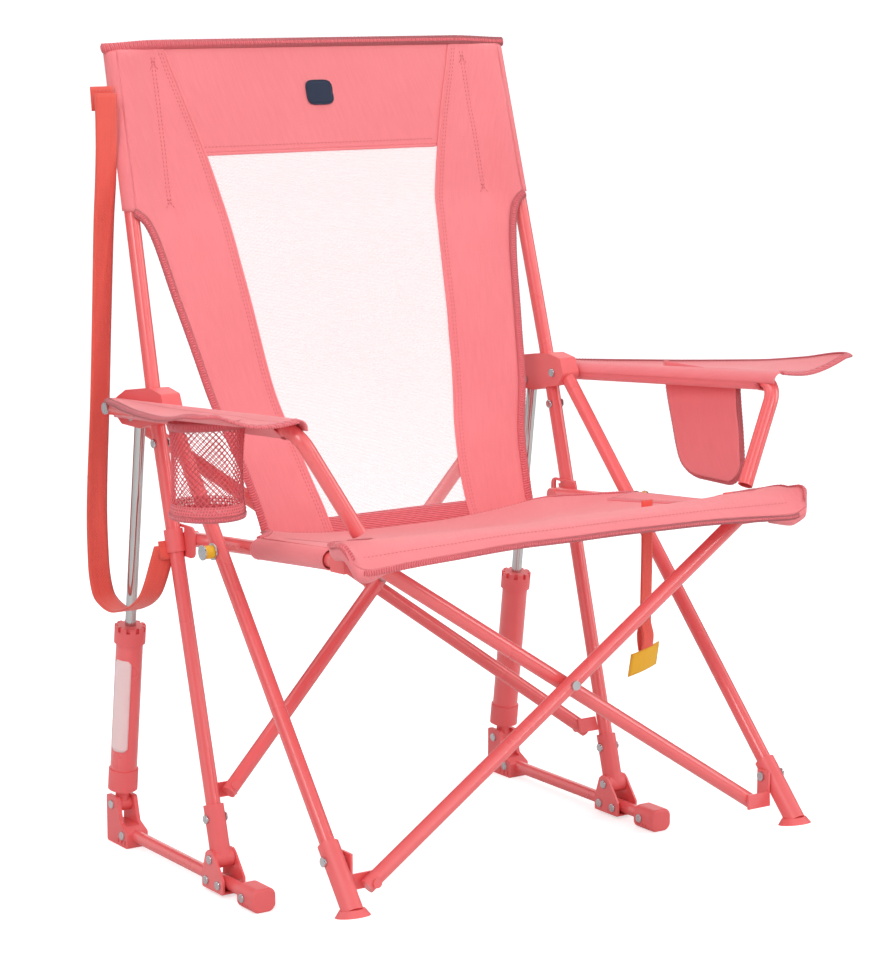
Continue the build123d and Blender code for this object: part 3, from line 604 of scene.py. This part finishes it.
patch_cloth, *_ = woven("navy woven patch", (0.005, 0.012, 0.035), (0.012, 0.028, 0.07), 1500.0, 120.0, 0.4,
                        0.6, 0.2)
PATCH_HALF = (17.0, 13.0)
PATCH_Z = 832.0
rows = []
for v in steps_between(-1, 1, 9):
    row = []
    for u in steps_between(-1, 1, 13):
        squeeze = 1 - 0.12 * u ** 6 * abs(v) ** 3
        row.append(back_point(4 + u * PATCH_HALF[0] * squeeze, PATCH_Z + v * PATCH_HALF[1] * squeeze, 2.0))
    rows.append(row)
patch = sheet_mesh("back_patch", rows, patch_cloth)
rim = []
for k in range(49):
    turn = 2 * pi * k / 48
    u = abs(cos(turn)) ** 0.45 * (1 if cos(turn) > 0 else -1)
    v = abs(sin(turn)) ** 0.45 * (1 if sin(turn) > 0 else -1)
    rim.append((back_point(4 + u * PATCH_HALF[0], PATCH_Z + v * PATCH_HALF[1], 2.2), BACK_NORMAL))
patch_rim = tape("back_patch_rim", rim, 0.0020, 0.0012, patch_cloth, corners=8)
for piece in (patch, patch_rim):
    rides_back(piece)


# The seat sling. One coral cloth whose long sleeves slide over the seat rails. Its front corners are pockets
# over the tops of the front braces, so the front edge stands up and rolls over. It hangs a little in the
# middle.

RAIL_X = 243.0
RAIL_SLEEVE_R = 10.6
SLEEVE_REAR = -56.0
SLEEVE_FRONT = -193.0
POST_HOLE = (243.5, -249)    # where the arm post goes through the seat
POST_HOLE_R = 11


def rail_z(y):
    """The seat rail's height."""
    return 366 + (90 - y) * 27.4 / 308.7


edge_height = smooth([(50, 372), (20, 380), (-20, 386), (-58, 390.5), (-120, 396), (-193, 402.5),
                      (-225, 413), (-245, 420),
                      (-262, 423), (-284, 417), (-297, 407), (-303, 399)])
middle_height = smooth([(50, 362), (20, 362), (-20, 365), (-58, 370), (-120, 382), (-193, 398), (-225, 407),
                        (-245, 413),
                        (-262, 418), (-284, 418), (-297, 414), (-303, 409)])
half_width = smooth([(50, 178), (30, 184), (0, 200), (-30, 222), (-50, 240), (-58, 243), (-193, 243),
                     (-204, 240),
                     (-216, 238), (-228, 246), (-240, 264), (-252, 279), (-265, 287), (-290, 291),
                     (-303, 284)])


def seat_point(x, y, up=0.0):
    """A point on the seat cloth."""
    half = half_width(y)
    share = min(abs(x) / half, 1)
    low = middle_height(y)
    height = low + (edge_height(y) - low) * share ** 2.4
    crease = 1.3 * noise.noise(Vector((x / 85, y / 55, 1.0)))
    pull = 1.8 * sin((abs(x) * 0.5 + y) / 13) * max(0, (abs(x) - 150) / 120) * max(0, 1 - abs(y + 235) / 60)
    tip = 15 * max(0, (abs(x) - 262) / 28) ** 2 * max(0, min(1, (-y - 270) / 25))
    return at(x, y, height + (crease + pull) * (1 - 0.6 * share) + tip + up)


rows = []
seat_rows = [*steps_between(50, -290, 70), -293, -296, -298.5, -300.5, -302, -303]
for y in seat_rows:
    rows.append([seat_point(half_width(y) * across, y) for across in steps_between(-1, 1, 64)])
seat = sheet_mesh("seat_sling", rows, cloth)
seat_pieces = []
for side, word in ((-1, "left"), (1, "right")):
    rows = []
    for y in steps_between(SLEEVE_REAR, SLEEVE_FRONT, 30):
        row = []
        for x in steps_between(206, 236, 7):
            row.append(seat_point(side * x, y, 0.9))
        for step in steps_between(98, -90, 16):
            turn = radians(step)
            row.append(at(side * (RAIL_X + RAIL_SLEEVE_R * cos(turn)), y, rail_z(y) +
                          RAIL_SLEEVE_R * sin(turn)))
        for x in steps_between(236, 208, 6):
            t = (RAIL_X - x) / 35
            row.append(at(side * x, y, rail_z(y) - RAIL_SLEEVE_R * (1 - t) + 8 * t * t - 1))
        rows.append(row)
    sleeve = sheet_mesh(f"seat_sleeve_{word}", rows, cloth)
    ends = []
    for y, label in ((SLEEVE_REAR, "rear"), (SLEEVE_FRONT, "front")):
        loop = [(at(side * (RAIL_X + RAIL_SLEEVE_R * cos(radians(a))), y, rail_z(y) +
                    RAIL_SLEEVE_R * sin(radians(a))),
                 Vector((side * cos(radians(a)), 0, sin(radians(a))))) for a in steps_between(120, -120, 30)]
        ends.append(tape(f"seat_sleeve_hem_{label}_{word}", loop, 0.005, 0.0018, cloth))
    line = [[(seat_point(side * x, y, 1.6), Vector((0, 0, 1)))
             for y in steps_between(SLEEVE_REAR, SLEEVE_FRONT, 20)]
            for x in (209, 213)]
    rear_edge = [(seat_point(side * (half_width(y) - 1), y), Vector((0, 0, 1)))
                 for y in steps_between(48, -56, 30)]
    ends.append(tape(f"seat_rear_binding_{word}", rear_edge, 0.008, 0.0026, binding, rib=0.25))
    ends.append(stitches(f"seat_sleeve_stitches_{word}", line, thread))
    corner = [(seat_point(side * (half_width(y) - 1), y), Vector((side * 0.5, 0, 0.86))) for y in
              steps_between(-196, -301, 60)]
    ends.append(tape(f"seat_corner_binding_{word}", corner, 0.0075, 0.0026, binding, rib=0.2))
    ring = []
    for k in range(33):
        turn = 2 * pi * k / 32
        spot_x, spot_y = POST_HOLE[0] + POST_HOLE_R * cos(turn), POST_HOLE[1] + POST_HOLE_R * sin(turn)
        ring.append((seat_point(side * spot_x, spot_y, 0.6), Vector((0, 0, 1))))
    ends.append(tape(f"seat_post_collar_{word}", ring, 0.0045, 0.0022, binding, rib=0.1))
    rim = [(half_width(y), y) for y in steps_between(-226, -300, 24)]
    rim += [(x, -303) for x in steps_between(283, 238, 14)]
    rows = []
    for depth, inward in ((0, 0.0), (0.4, -0.01), (0.75, 0.02), (0.95, 0.12), (1, 0.35), (1, 0.62), (1, 0.9)):
        row = []
        for i, (x, y) in enumerate(rim):
            drop = 16 * sin(pi * (i + 0.6) / (len(rim) + 0.2)) ** 0.45 * depth
            x_in, y_in = x + (258 - x) * inward, y + (-268 - y) * inward
            edge_point = seat_point(side * x, y, -drop)
            row.append(at(side * x_in, y_in, edge_point.z * 1000))
        rows.append(row)
    pouch = sheet_mesh(f"seat_corner_pocket_{word}", rows, cloth)
    ends.append(pouch)
    seat_pieces.append((sleeve, ends))
front_hem = [(seat_point(x, -303) + Vector((0, -0.0002, -0.003)), Vector((0, -1, 0.1))) for x in
             steps_between(-274, 274, 90)]
hem_tape = tape("seat_front_binding", front_hem, 0.0062, 0.0026, binding, rib=0.28)
roll_line = [[(seat_point(x, y, 0.8), Vector((0, -0.3, 0.95))) for x in steps_between(-268, 268, 80)]
             for y in (-294,)]
roll_stitches = stitches("seat_front_stitches", roll_line, thread)
rear_line = [[(seat_point(x, 44, 0.8), Vector((0, -0.3, 0.95))) for x in steps_between(-172, 172, 60)]]
rear_stitches = stitches("seat_rear_stitches", rear_line, thread)
for (sleeve, ends), word in zip(seat_pieces, ("left", "right")):
    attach(sleeve, f"seat_rail_{word}")
for piece in [seat, hem_tape, roll_stitches, rear_stitches] + [p for _, ends in seat_pieces for p in ends]:
    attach(piece, "seat_rail_left")
    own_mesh(piece)
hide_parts("seat_panel")


# Arm tops. Each is a stiffened coral cloth with a sleeve over the arm tube on its inner side. The outer front
# corner turns up, and ribbed tape binds the front and the outer edge.

ARM_SLEEVE_R = 9.8
SLEEVE_MOUTH = -206.0       # the sleeve stops where the tube begins to bend


def arm_tube_at(y):
    """The arm tube's x and z at a depth."""
    t = (186 - y) / 414
    return 284 + 19 * t, 500 + 31 * t


arm_outer = smooth([(182, 292), (168, 299), (100, 322), (40, 343), (-100, 385), (-150, 398), (-190, 408),
                    (-215, 411),
                    (-229, 405), (-235, 392)])
arm_flare = smooth([(182, 0), (40, 0), (-100, 2), (-160, 6), (-215, 12), (-235, 11)])
arm_dish = smooth([(182, 0), (120, 2), (0, 5), (-130, 4), (-200, 6), (-235, 5)])


def arm_point(side, share, y, up=0.0):
    """A point on the arm top, share 0 over the tube and 1 at the outer edge."""
    tube_x, tube_z = arm_tube_at(y)
    x = tube_x + (arm_outer(y) - tube_x) * share
    height = tube_z + ARM_SLEEVE_R + 0.6 - arm_dish(y) * sin(pi * share) + arm_flare(y) * share ** 2
    ripple = 0.9 * noise.noise(Vector((x / 40, y / 50, 5.0 + side)))
    return at(side * x, y, height + ripple * sin(pi * min(share + 0.1, 1)) + up)


UP = Vector((0, 0, 1))
for side, word in ((-1, "left"), (1, "right")):
    arm_pieces = []
    rows = []
    for y in steps_between(182, -235, 90):
        tube_x, tube_z = arm_tube_at(y)
        row = [arm_point(side, share, y) for share in steps_between(1, 0, 24)]
        for step in steps_between(100, 190, 10):
            turn = radians(step)
            row.append(at(side * (tube_x + ARM_SLEEVE_R * cos(turn)), y, tube_z + ARM_SLEEVE_R * sin(turn)))
        rows.append(row)
    top = sheet_mesh(f"arm_top_{word}", rows, cloth, thickness=0.0012)
    rows = []
    for y in steps_between(182, SLEEVE_MOUTH, 80):
        tube_x, tube_z = arm_tube_at(y)
        row = []
        for step in steps_between(184, 270, 12):
            turn = radians(step)
            row.append(at(side * (tube_x + ARM_SLEEVE_R * cos(turn)), y, tube_z + ARM_SLEEVE_R * sin(turn)))
        low = row[-1]
        reach = min(20 / max(arm_outer(y) - tube_x, 8), 0.8)
        hem = arm_point(side, reach, y, -1.8)
        row += [low.lerp(hem, share) for share in (0.3, 0.6, 0.85, 1)]
        rows.append(row)
    under = sheet_mesh(f"arm_sleeve_{word}", rows, cloth)
    front_edge = [(arm_point(side, share, -234.5, -0.8), Vector((0, -0.25, 0.97)))
                  for share in steps_between(0, 1, 24)]
    outer = [(arm_point(side, 1, y, -0.8), Vector((side * 0.3, 0, 0.95)))
             for y in steps_between(-234.5, 180, 90)]
    arm_pieces.append(tape(f"arm_binding_{word}", front_edge + outer[1:], 0.0095, 0.0034, binding, rib=0.3))
    lip = []
    tube_x, tube_z = arm_tube_at(SLEEVE_MOUTH)
    for a in steps_between(190, 290, 12):
        turn = radians(a)
        lip.append((at(side * (tube_x + ARM_SLEEVE_R * cos(turn)), SLEEVE_MOUTH, tube_z +
                       ARM_SLEEVE_R * sin(turn)),
                    Vector((side * cos(turn), 0, sin(turn)))))
    arm_pieces.append(tape(f"arm_sleeve_hem_{word}", lip, 0.0075, 0.0024, binding, rib=0.3))
    rows = [[(arm_point(side, share, y, 0.7), UP) for y in steps_between(172, -226, 60)] for share in (0.16,)]
    rows += [[(arm_point(side, 1 - 8 / max(arm_outer(y) - arm_tube_at(y)[0], 12), y, 0.7), UP)
              for y in steps_between(150, -226, 60)]]
    arm_pieces.append(stitches(f"arm_stitches_{word}", rows, thread))
    for piece in (top, under, *arm_pieces):
        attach(piece, f"arm_{word}")
    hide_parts(f"arm_cloth_{word}")


# Cup holder under the left arm: a bag of coarse open mesh on a bound ring, with a doubled foot band,
# a mesh floor and one bound seam down its side.

CUP_AT = (-346.0, -130.0)
CUP_R = 37.0
CUP_DEPTH = 94.0
NET_AROUND = 36
NET_ROWS = 30


def cup_point(turn, drop, out=0.0):
    """A point on the bag's wall, which narrows towards the middle and leans a little as it hangs."""
    slack = 1 - 0.07 * sin(pi * drop) + 0.018 * sin(3 * turn + 1) * sin(pi * drop)
    radius = (CUP_R + out) * slack
    tube_z = arm_tube_at(CUP_AT[1])[1] + ARM_SLEEVE_R
    rim = tube_z - 4 - 0.0749 * radius * sin(turn) * (1 - drop)
    return at(CUP_AT[0] + radius * cos(turn), CUP_AT[1] + radius * sin(turn), rim - CUP_DEPTH * drop)


net_points = []
net_faces = []
for r in range(NET_ROWS + 1):
    for k in range(NET_AROUND):
        turn = 2 * pi * (k + (r % 2) / 2) / NET_AROUND
        net_points.append(cup_point(turn, r / NET_ROWS))
for r in range(NET_ROWS - 1):
    for k in range(NET_AROUND):
        left = (k - 1 + r % 2) % NET_AROUND
        right = (k + r % 2) % NET_AROUND
        net_faces.append((r * NET_AROUND + k, (r + 1) * NET_AROUND + left, (r + 2) * NET_AROUND + k,
                          (r + 1) * NET_AROUND + right))
floor_start = len(net_points)
for ring, share in enumerate((1.0, 0.82, 0.64, 0.46, 0.28, 0.1)):
    for k in range(28):
        edge_point = cup_point(2 * pi * (k + (ring % 2) / 2) / 28, 1.0)
        middle = at(*CUP_AT, 0)
        middle.z = edge_point.z - 0.002 * (1 - share)
        net_points.append(middle.lerp(edge_point, share))
for ring in range(4):
    for k in range(28):
        left = (k - 1 + ring % 2) % 28
        right = (k + ring % 2) % 28
        base = floor_start
        net_faces.append((base + ring * 28 + k, base + (ring + 1) * 28 + left, base + (ring + 2) * 28 + k,
                          base + (ring + 1) * 28 + right))
mesh = bpy.data.meshes.new("cup_net")
mesh.from_pydata([tuple(p) for p in net_points], [], net_faces)
mesh.materials.append(binding)
net = bpy.data.objects.new("cup_net", mesh)
bpy.context.scene.collection.objects.link(net)
strands = net.modifiers.new("Net strands", "WIREFRAME")
strands.thickness = 0.0012
strands.use_even_offset = False

around = steps_between(0, 2 * pi, 72)


def cup_ring(drop, out=0.0):
    """A closed line round the bag with its outward normals."""
    return [(cup_point(turn, drop, out), Vector((cos(turn), sin(turn), 0))) for turn in around]


cup_pieces = [tape("cup_rim_binding", cup_ring(0.02, 0.3), 0.009, 0.0026, binding, rib=0.25),
              tape("cup_foot_binding", cup_ring(0.975, 0.4), 0.006, 0.0026, binding, rib=0.25)]
band_rows = [[cup_point(turn, drop, 0.5) for turn in around] for drop in steps_between(0.84, 1.0, 8)]
foot_net, tree, shader, node = woven("doubled open mesh", (0.72, 0.12, 0.14), (0.92, 0.24, 0.26), 330.0,
                                     60.0, 0.5, 0.65, 0.2)
cover = tree.nodes.new("ShaderNodeMapRange")
cover.inputs["From Min"].default_value = 0.3
cover.inputs["From Max"].default_value = 0.5
cover.inputs["To Min"].default_value = 0.45
cover.inputs["To Max"].default_value = 1.0
tree.links.new(node.outputs["Cover"], cover.inputs["Value"])
tree.links.new(cover.outputs["Result"], shader.inputs["Alpha"])
foot_band_piece = sheet_mesh("cup_foot_band", band_rows, foot_net, thickness=0)
seam_turn = radians(-28)
seam_line = [(cup_point(seam_turn, d, 0.6), Vector((cos(seam_turn), sin(seam_turn), 0)))
             for d in steps_between(0.02, 0.99, 24)]
cup_pieces.append(tape("cup_seam_binding", seam_line, 0.007, 0.0028, binding, rib=0.3))
for piece in (net, foot_band_piece, *cup_pieces):
    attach(piece, "arm_left")
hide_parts("cup_holder")


# Flat pocket under the right arm: two layers of coral cloth with clipped lower corners, bound all round
# except at the mouth in its outer face.

POCKET_FACES = {"pocket_inner_face": (309.4, -1, 0.0), "pocket_outer_face": (320.6, 1, 34.0)}
pocket_front = smooth([(408, -142), (412, -150), (420, -158), (430, -161), (460, -158.5), (500, -153),
                       (534, -149)])
pocket_rear = smooth([(408, -84), (412, -70), (420, -58), (430, -52), (460, -42), (500, -30), (534, -24)])
pocket_pieces = []
for name, (x_face, outward, lip) in POCKET_FACES.items():
    rows = []
    for z in steps_between(408, 531 - lip, 46):
        row = []
        for share in steps_between(0, 1, 30):
            y = pocket_rear(z) + (pocket_front(z) - pocket_rear(z)) * share
            puff = 3.2 * sin(pi * share) ** 0.7 * sin(pi * min((z - 400) / 118, 1)) ** 0.6
            crease = 0.8 * noise.noise(Vector((y / 22, z / 30, 4.0 + outward)))
            edge_in = 4.4 * (1 - sin(pi * share) ** 0.35) if lip else 0.0
            row.append(at(x_face + outward * (puff * 0.6 + crease) - outward * edge_in, y, z))
        rows.append(row)
    pocket_pieces.append(sheet_mesh(name, rows, cloth))
POCKET_X = 312.5
trim = [(at(POCKET_X, pocket_rear(z), z), Vector((-1, 0, 0))) for z in steps_between(531, 409, 50)]
trim += [(at(POCKET_X, y, 408), Vector((-1, 0, 0))) for y in steps_between(-88, -138, 12)]
trim += [(at(POCKET_X, pocket_front(z), z), Vector((-1, 0, 0))) for z in steps_between(409, 531, 50)]
pocket_trim = tape("pocket_binding", trim, 0.0095, 0.0046, binding, rib=0.28)
MOUTH_Z = 497
mouth = [(at(321, pocket_rear(MOUTH_Z) + (pocket_front(MOUTH_Z) - pocket_rear(MOUTH_Z)) * s,
          MOUTH_Z), Vector((1, 0, 0)))
         for s in steps_between(0.04, 0.96, 20)]
pocket_mouth = tape("pocket_mouth_binding", mouth, 0.008, 0.0024, binding, rib=0.25)
for piece in (*pocket_pieces, pocket_trim, pocket_mouth):
    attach(piece, "arm_right")
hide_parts("side_pocket")


# Carry strap: orange-red webbing, folded and box-stitched to the left back sleeve, hanging in a long loop and
# screwed to the left seat lug. The pull strap under the seat ends in a loop with a yellow tab.

webbing, *_ = woven("orange-red webbing", (0.78, 0.075, 0.055), (0.97, 0.15, 0.11), 520.0, 45.0, 0.7, 0.55,
                    0.3)
tab_cloth, *_ = woven("yellow webbing", (0.85, 0.42, 0.01), (0.97, 0.6, 0.05), 700.0, 60.0, 0.6, 0.55, 0.2)


def webbing_band(name, path, width, material, thickness=0.0016, cells=7):
    """A flat band of webbing along (point, across) pairs."""
    rows = []
    for p, across in path:
        rows.append([p + across * (width * u / 2) for u in steps_between(-1, 1, cells)])
    return sheet_mesh(name, rows, material, thickness=thickness)


def smooth_line(points, count):
    """Points along a rounded line through the given points, spaced by distance."""
    spots = [0.0]
    for a, b in zip(points, points[1:]):
        spots.append(spots[-1] + hypot(*[q - p for p, q in zip(a, b)]))
    curves = [smooth(list(zip(spots, values))) for values in zip(*points)]
    return [tuple(curve(s) for curve in curves) for s in steps_between(0, spots[-1], count)]


strap_route = [(-279, 197, 838), (-279, 198, 789), (-280, 200, 746), (-281, 204, 702), (-283, 208, 615),
               (-286, 212, 504),
               (-290, 216, 391), (-292, 211, 324), (-293, 196, 290), (-293, 162, 281), (-291, 124, 291),
               (-287, 99, 311),
               (-281, 93, 336), (-273, 92, 362)]
path = []
for i, (x, y, z) in enumerate(smooth_line(strap_route, 150)):
    along = i / 149
    twist = 0.22 * sin(pi * min(along * 1.25, 1)) - 0.3 * max(0, along - 0.8)
    path.append((at(x, y, z), Vector((cos(twist), sin(twist), 0))))
carry = webbing_band("carry_strap_webbing", path, 0.0265, webbing)
tab_y = upright_y(832) - 9
fold_path = [(at(-262 - 24 * s, tab_y - 2 * s, 832), Vector((0, 0.12, 1)).normalized()) for s in
             steps_between(0, 1.2, 16)]
strap_tab = webbing_band("carry_strap_fold", fold_path, 0.026, webbing)
lines = []
for inset in (0.15, 0.85):
    lines.append([(at(-265 - 24 * s, tab_y - 1.4 - 2 * s, 820 + 24 * inset), Vector((0, -1, 0))) for s in
                  steps_between(0, 1, 8)])
for s in (0.0, 1.0):
    lines.append([(at(-265 - 24 * s, tab_y - 1.4 - 2 * s, 820 + 24 * v), Vector((0, -1, 0))) for v in
                  steps_between(0.15, 0.85, 8)])
strap_box = stitches("carry_strap_stitches", lines, thread)
end_path = [(at(-(269 + 9 * s), upright_y(362) + 1, 357), Vector((0, 0.3, 0.95)).normalized()) for s in
            steps_between(0, 1.3, 10)]
strap_end = webbing_band("carry_strap_end", end_path, 0.02, webbing)
for piece in (carry, strap_tab, strap_box, strap_end):
    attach(piece, "frame_left")
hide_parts("carry_strap")

PULL = (185.0, -155.0)
pull_route = [(PULL[1], 402), (PULL[1] - 1, 350), (PULL[1], 268), (PULL[1] - 5, 252), (PULL[1] - 3, 238),
              (PULL[1], 233),
              (PULL[1] + 3, 238), (PULL[1] + 5, 252), (PULL[1] + 1.5, 268), (PULL[1] + 1, 276)]
path = [(at(PULL[0], y, z), Vector((1, 0, 0))) for y, z in smooth_line(pull_route, 70)]
pull = webbing_band("pull_strap_webbing", path, 0.0145, webbing)
pull_stitches = stitches("pull_strap_stitches",
                         [[(at(PULL[0] + x, PULL[1] - 2.2, z), Vector((0, -1, 0))) for x in (-5, 0, 5)]
                                                for z in (268, 273)], thread)
rows = []
for v in steps_between(-1, 1, 9):
    rows.append([at(PULL[0] - 4 + 19 * u + 3 * v, PULL[1] - 1.5 - 3.2 * cos(u * 1.3) + 1.2 * v, 226 +
                    12 * v + 5 * u)
                 for u in steps_between(-1, 1, 11)])
tab = sheet_mesh("pull_tab_cloth", rows, tab_cloth, thickness=0.002)
for piece, slot_name in ((pull, "webbing"), (pull_stitches, "webbing"), (tab, "tab_cloth")):
    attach(piece, "seat_rail_left")
    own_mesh(piece)
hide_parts("pull_strap")
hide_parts("pull_tab")


# A plain pale panel is printed on the left spring barrel.

panel_ink, tree, shader = shaded("pale printed panel", 0.4)
texture = grain(tree, 900.0, 30.0)
tree.links.new(mix_colour(tree, texture.outputs["Patches"], (0.9, 0.62, 0.62), (0.97, 0.75, 0.75)),
               shader.inputs["Base Color"])
shader.inputs["Coat Weight"].default_value = 0.4
BARREL_X = -262
PANEL_R = 15.15
PANEL_FACES = 212            # degrees round the barrel
PANEL_HALF_TURN = 42
PANEL_START = 66
PANEL_LENGTH = 108
LOW_PIN = (224.0, 44.0)
HIGH_PIN = (164.0, 492.0)
axis_length = hypot(HIGH_PIN[0] - LOW_PIN[0], HIGH_PIN[1] - LOW_PIN[1])
up_y, up_z = (HIGH_PIN[0] - LOW_PIN[0]) / axis_length, (HIGH_PIN[1] - LOW_PIN[1]) / axis_length
rows = []
for v in steps_between(0, 1, 30):
    ends = min(v, 1 - v) * PANEL_LENGTH
    width = 1 - (max(0, 5 - ends) / 5) ** 2 * 0.35
    row = []
    for u in steps_between(-1, 1, 11):
        turn = radians(PANEL_FACES + PANEL_HALF_TURN * u * width)
        distance = PANEL_START + PANEL_LENGTH * v
        out_x, out_y = PANEL_R * cos(turn), PANEL_R * sin(turn)
        row.append(at(BARREL_X + out_x, LOW_PIN[0] + up_y * distance + out_y * up_z, LOW_PIN[1] +
                      up_z * distance - out_y * up_y))
    rows.append(row)
panel = sheet_mesh("barrel_panel", rows, panel_ink, thickness=0.0002)
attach(panel, "cylinder_left")


# Plain studio: a pale floor, a soft white surround, a large key from the upper left front, a fill and a top
# light.

floor_material, tree, shader = shaded("pale floor", 0.9)
texture = grain(tree, 30.0, 2.0)
tree.links.new(mix_colour(tree, texture.outputs["Patches"], (0.78, 0.78, 0.78), (0.8, 0.8, 0.8)),
               shader.inputs["Base Color"])
shader.inputs["Specular IOR Level"].default_value = 0.1
shader.inputs["Emission Color"].default_value = (1, 1, 1, 1)
looked_at = tree.nodes.new("ShaderNodeLightPath")
tree.links.new(math_node(tree, "MULTIPLY", looked_at.outputs["Is Camera Ray"], 0.62),
               shader.inputs["Emission Strength"])
FLOOR_HALF = 120.0
mesh = bpy.data.meshes.new("studio_floor")
mesh.from_pydata([(x * FLOOR_HALF, y * FLOOR_HALF, 0) for x, y in ((-1, -1), (1, -1), (1, 1), (-1, 1))], [],
                 [(0, 1, 2, 3)])
mesh.materials.append(floor_material)
studio_floor = bpy.data.objects.new("studio_floor", mesh)
bpy.context.scene.collection.objects.link(studio_floor)

world = bpy.data.worlds.new("studio")
bpy.context.scene.world = world
world.use_nodes = True
# White walls with dark gaps between them, so that bright metal and gloss have something to mirror.
tree = world.node_tree
direction = tree.nodes.new("ShaderNodeTexCoord")
around_room = tree.nodes.new("ShaderNodeTexGradient")
around_room.gradient_type = "RADIAL"
tree.links.new(direction.outputs["Generated"], around_room.inputs["Vector"])
panels = math_node(tree, "SINE", math_node(tree, "MULTIPLY", around_room.outputs["Fac"], 10 * pi))
walls = tree.nodes.new("ShaderNodeMapRange")
walls.inputs["From Min"].default_value = -0.3
walls.inputs["From Max"].default_value = 0.0
tree.links.new(panels, walls.inputs["Value"])
seen = tree.nodes.new("ShaderNodeLightPath")
white = math_node(tree, "MAXIMUM", walls.outputs["Result"], seen.outputs["Is Camera Ray"])
tree.links.new(mix_colour(tree, white, (0.06, 0.06, 0.07), (1.0, 1.0, 1.0)),
               tree.nodes["Background"].inputs["Color"])
tree.nodes["Background"].inputs["Strength"].default_value = 1.05


def soft_light(name, place, target, size, power):
    """A square area light aimed at a point."""
    data = bpy.data.lights.new(name, "AREA")
    data.shape = "RECTANGLE"
    data.size, data.size_y = size
    data.energy = power
    lamp = bpy.data.objects.new(name, data)
    lamp.location = place
    lamp.rotation_euler = (Vector(target) - Vector(place)).to_track_quat("-Z", "Y").to_euler()
    bpy.context.scene.collection.objects.link(lamp)


soft_light("key", (-2.4, -1.8, 2.4), (0, 0, 0.45), (1.2, 1.6), 34)
soft_light("fill", (2.6, -1.6, 1.5), (0, 0, 0.5), (1.0, 1.8), 16)
soft_light("top", (0, 0.3, 3.0), (0, 0, 0.4), (2.0, 2.0), 20)
soft_light("strip", (0.9, -3.0, 1.6), (0, 0, 0.4), (0.16, 2.4), 14)

camera_data = bpy.data.cameras.new("camera")
camera_data.sensor_width = 36
camera_data.lens = 110.86
camera = bpy.data.objects.new("camera", camera_data)
camera.location = at(-1754.7, -2630.7, 970.8)
camera.rotation_euler = Vector((0.5505, 0.8171, -0.1709)).to_track_quat("-Z", "Y").to_euler()
bpy.context.scene.collection.objects.link(camera)
bpy.context.scene.camera = camera
bpy.context.scene.view_settings.view_transform = "Standard"
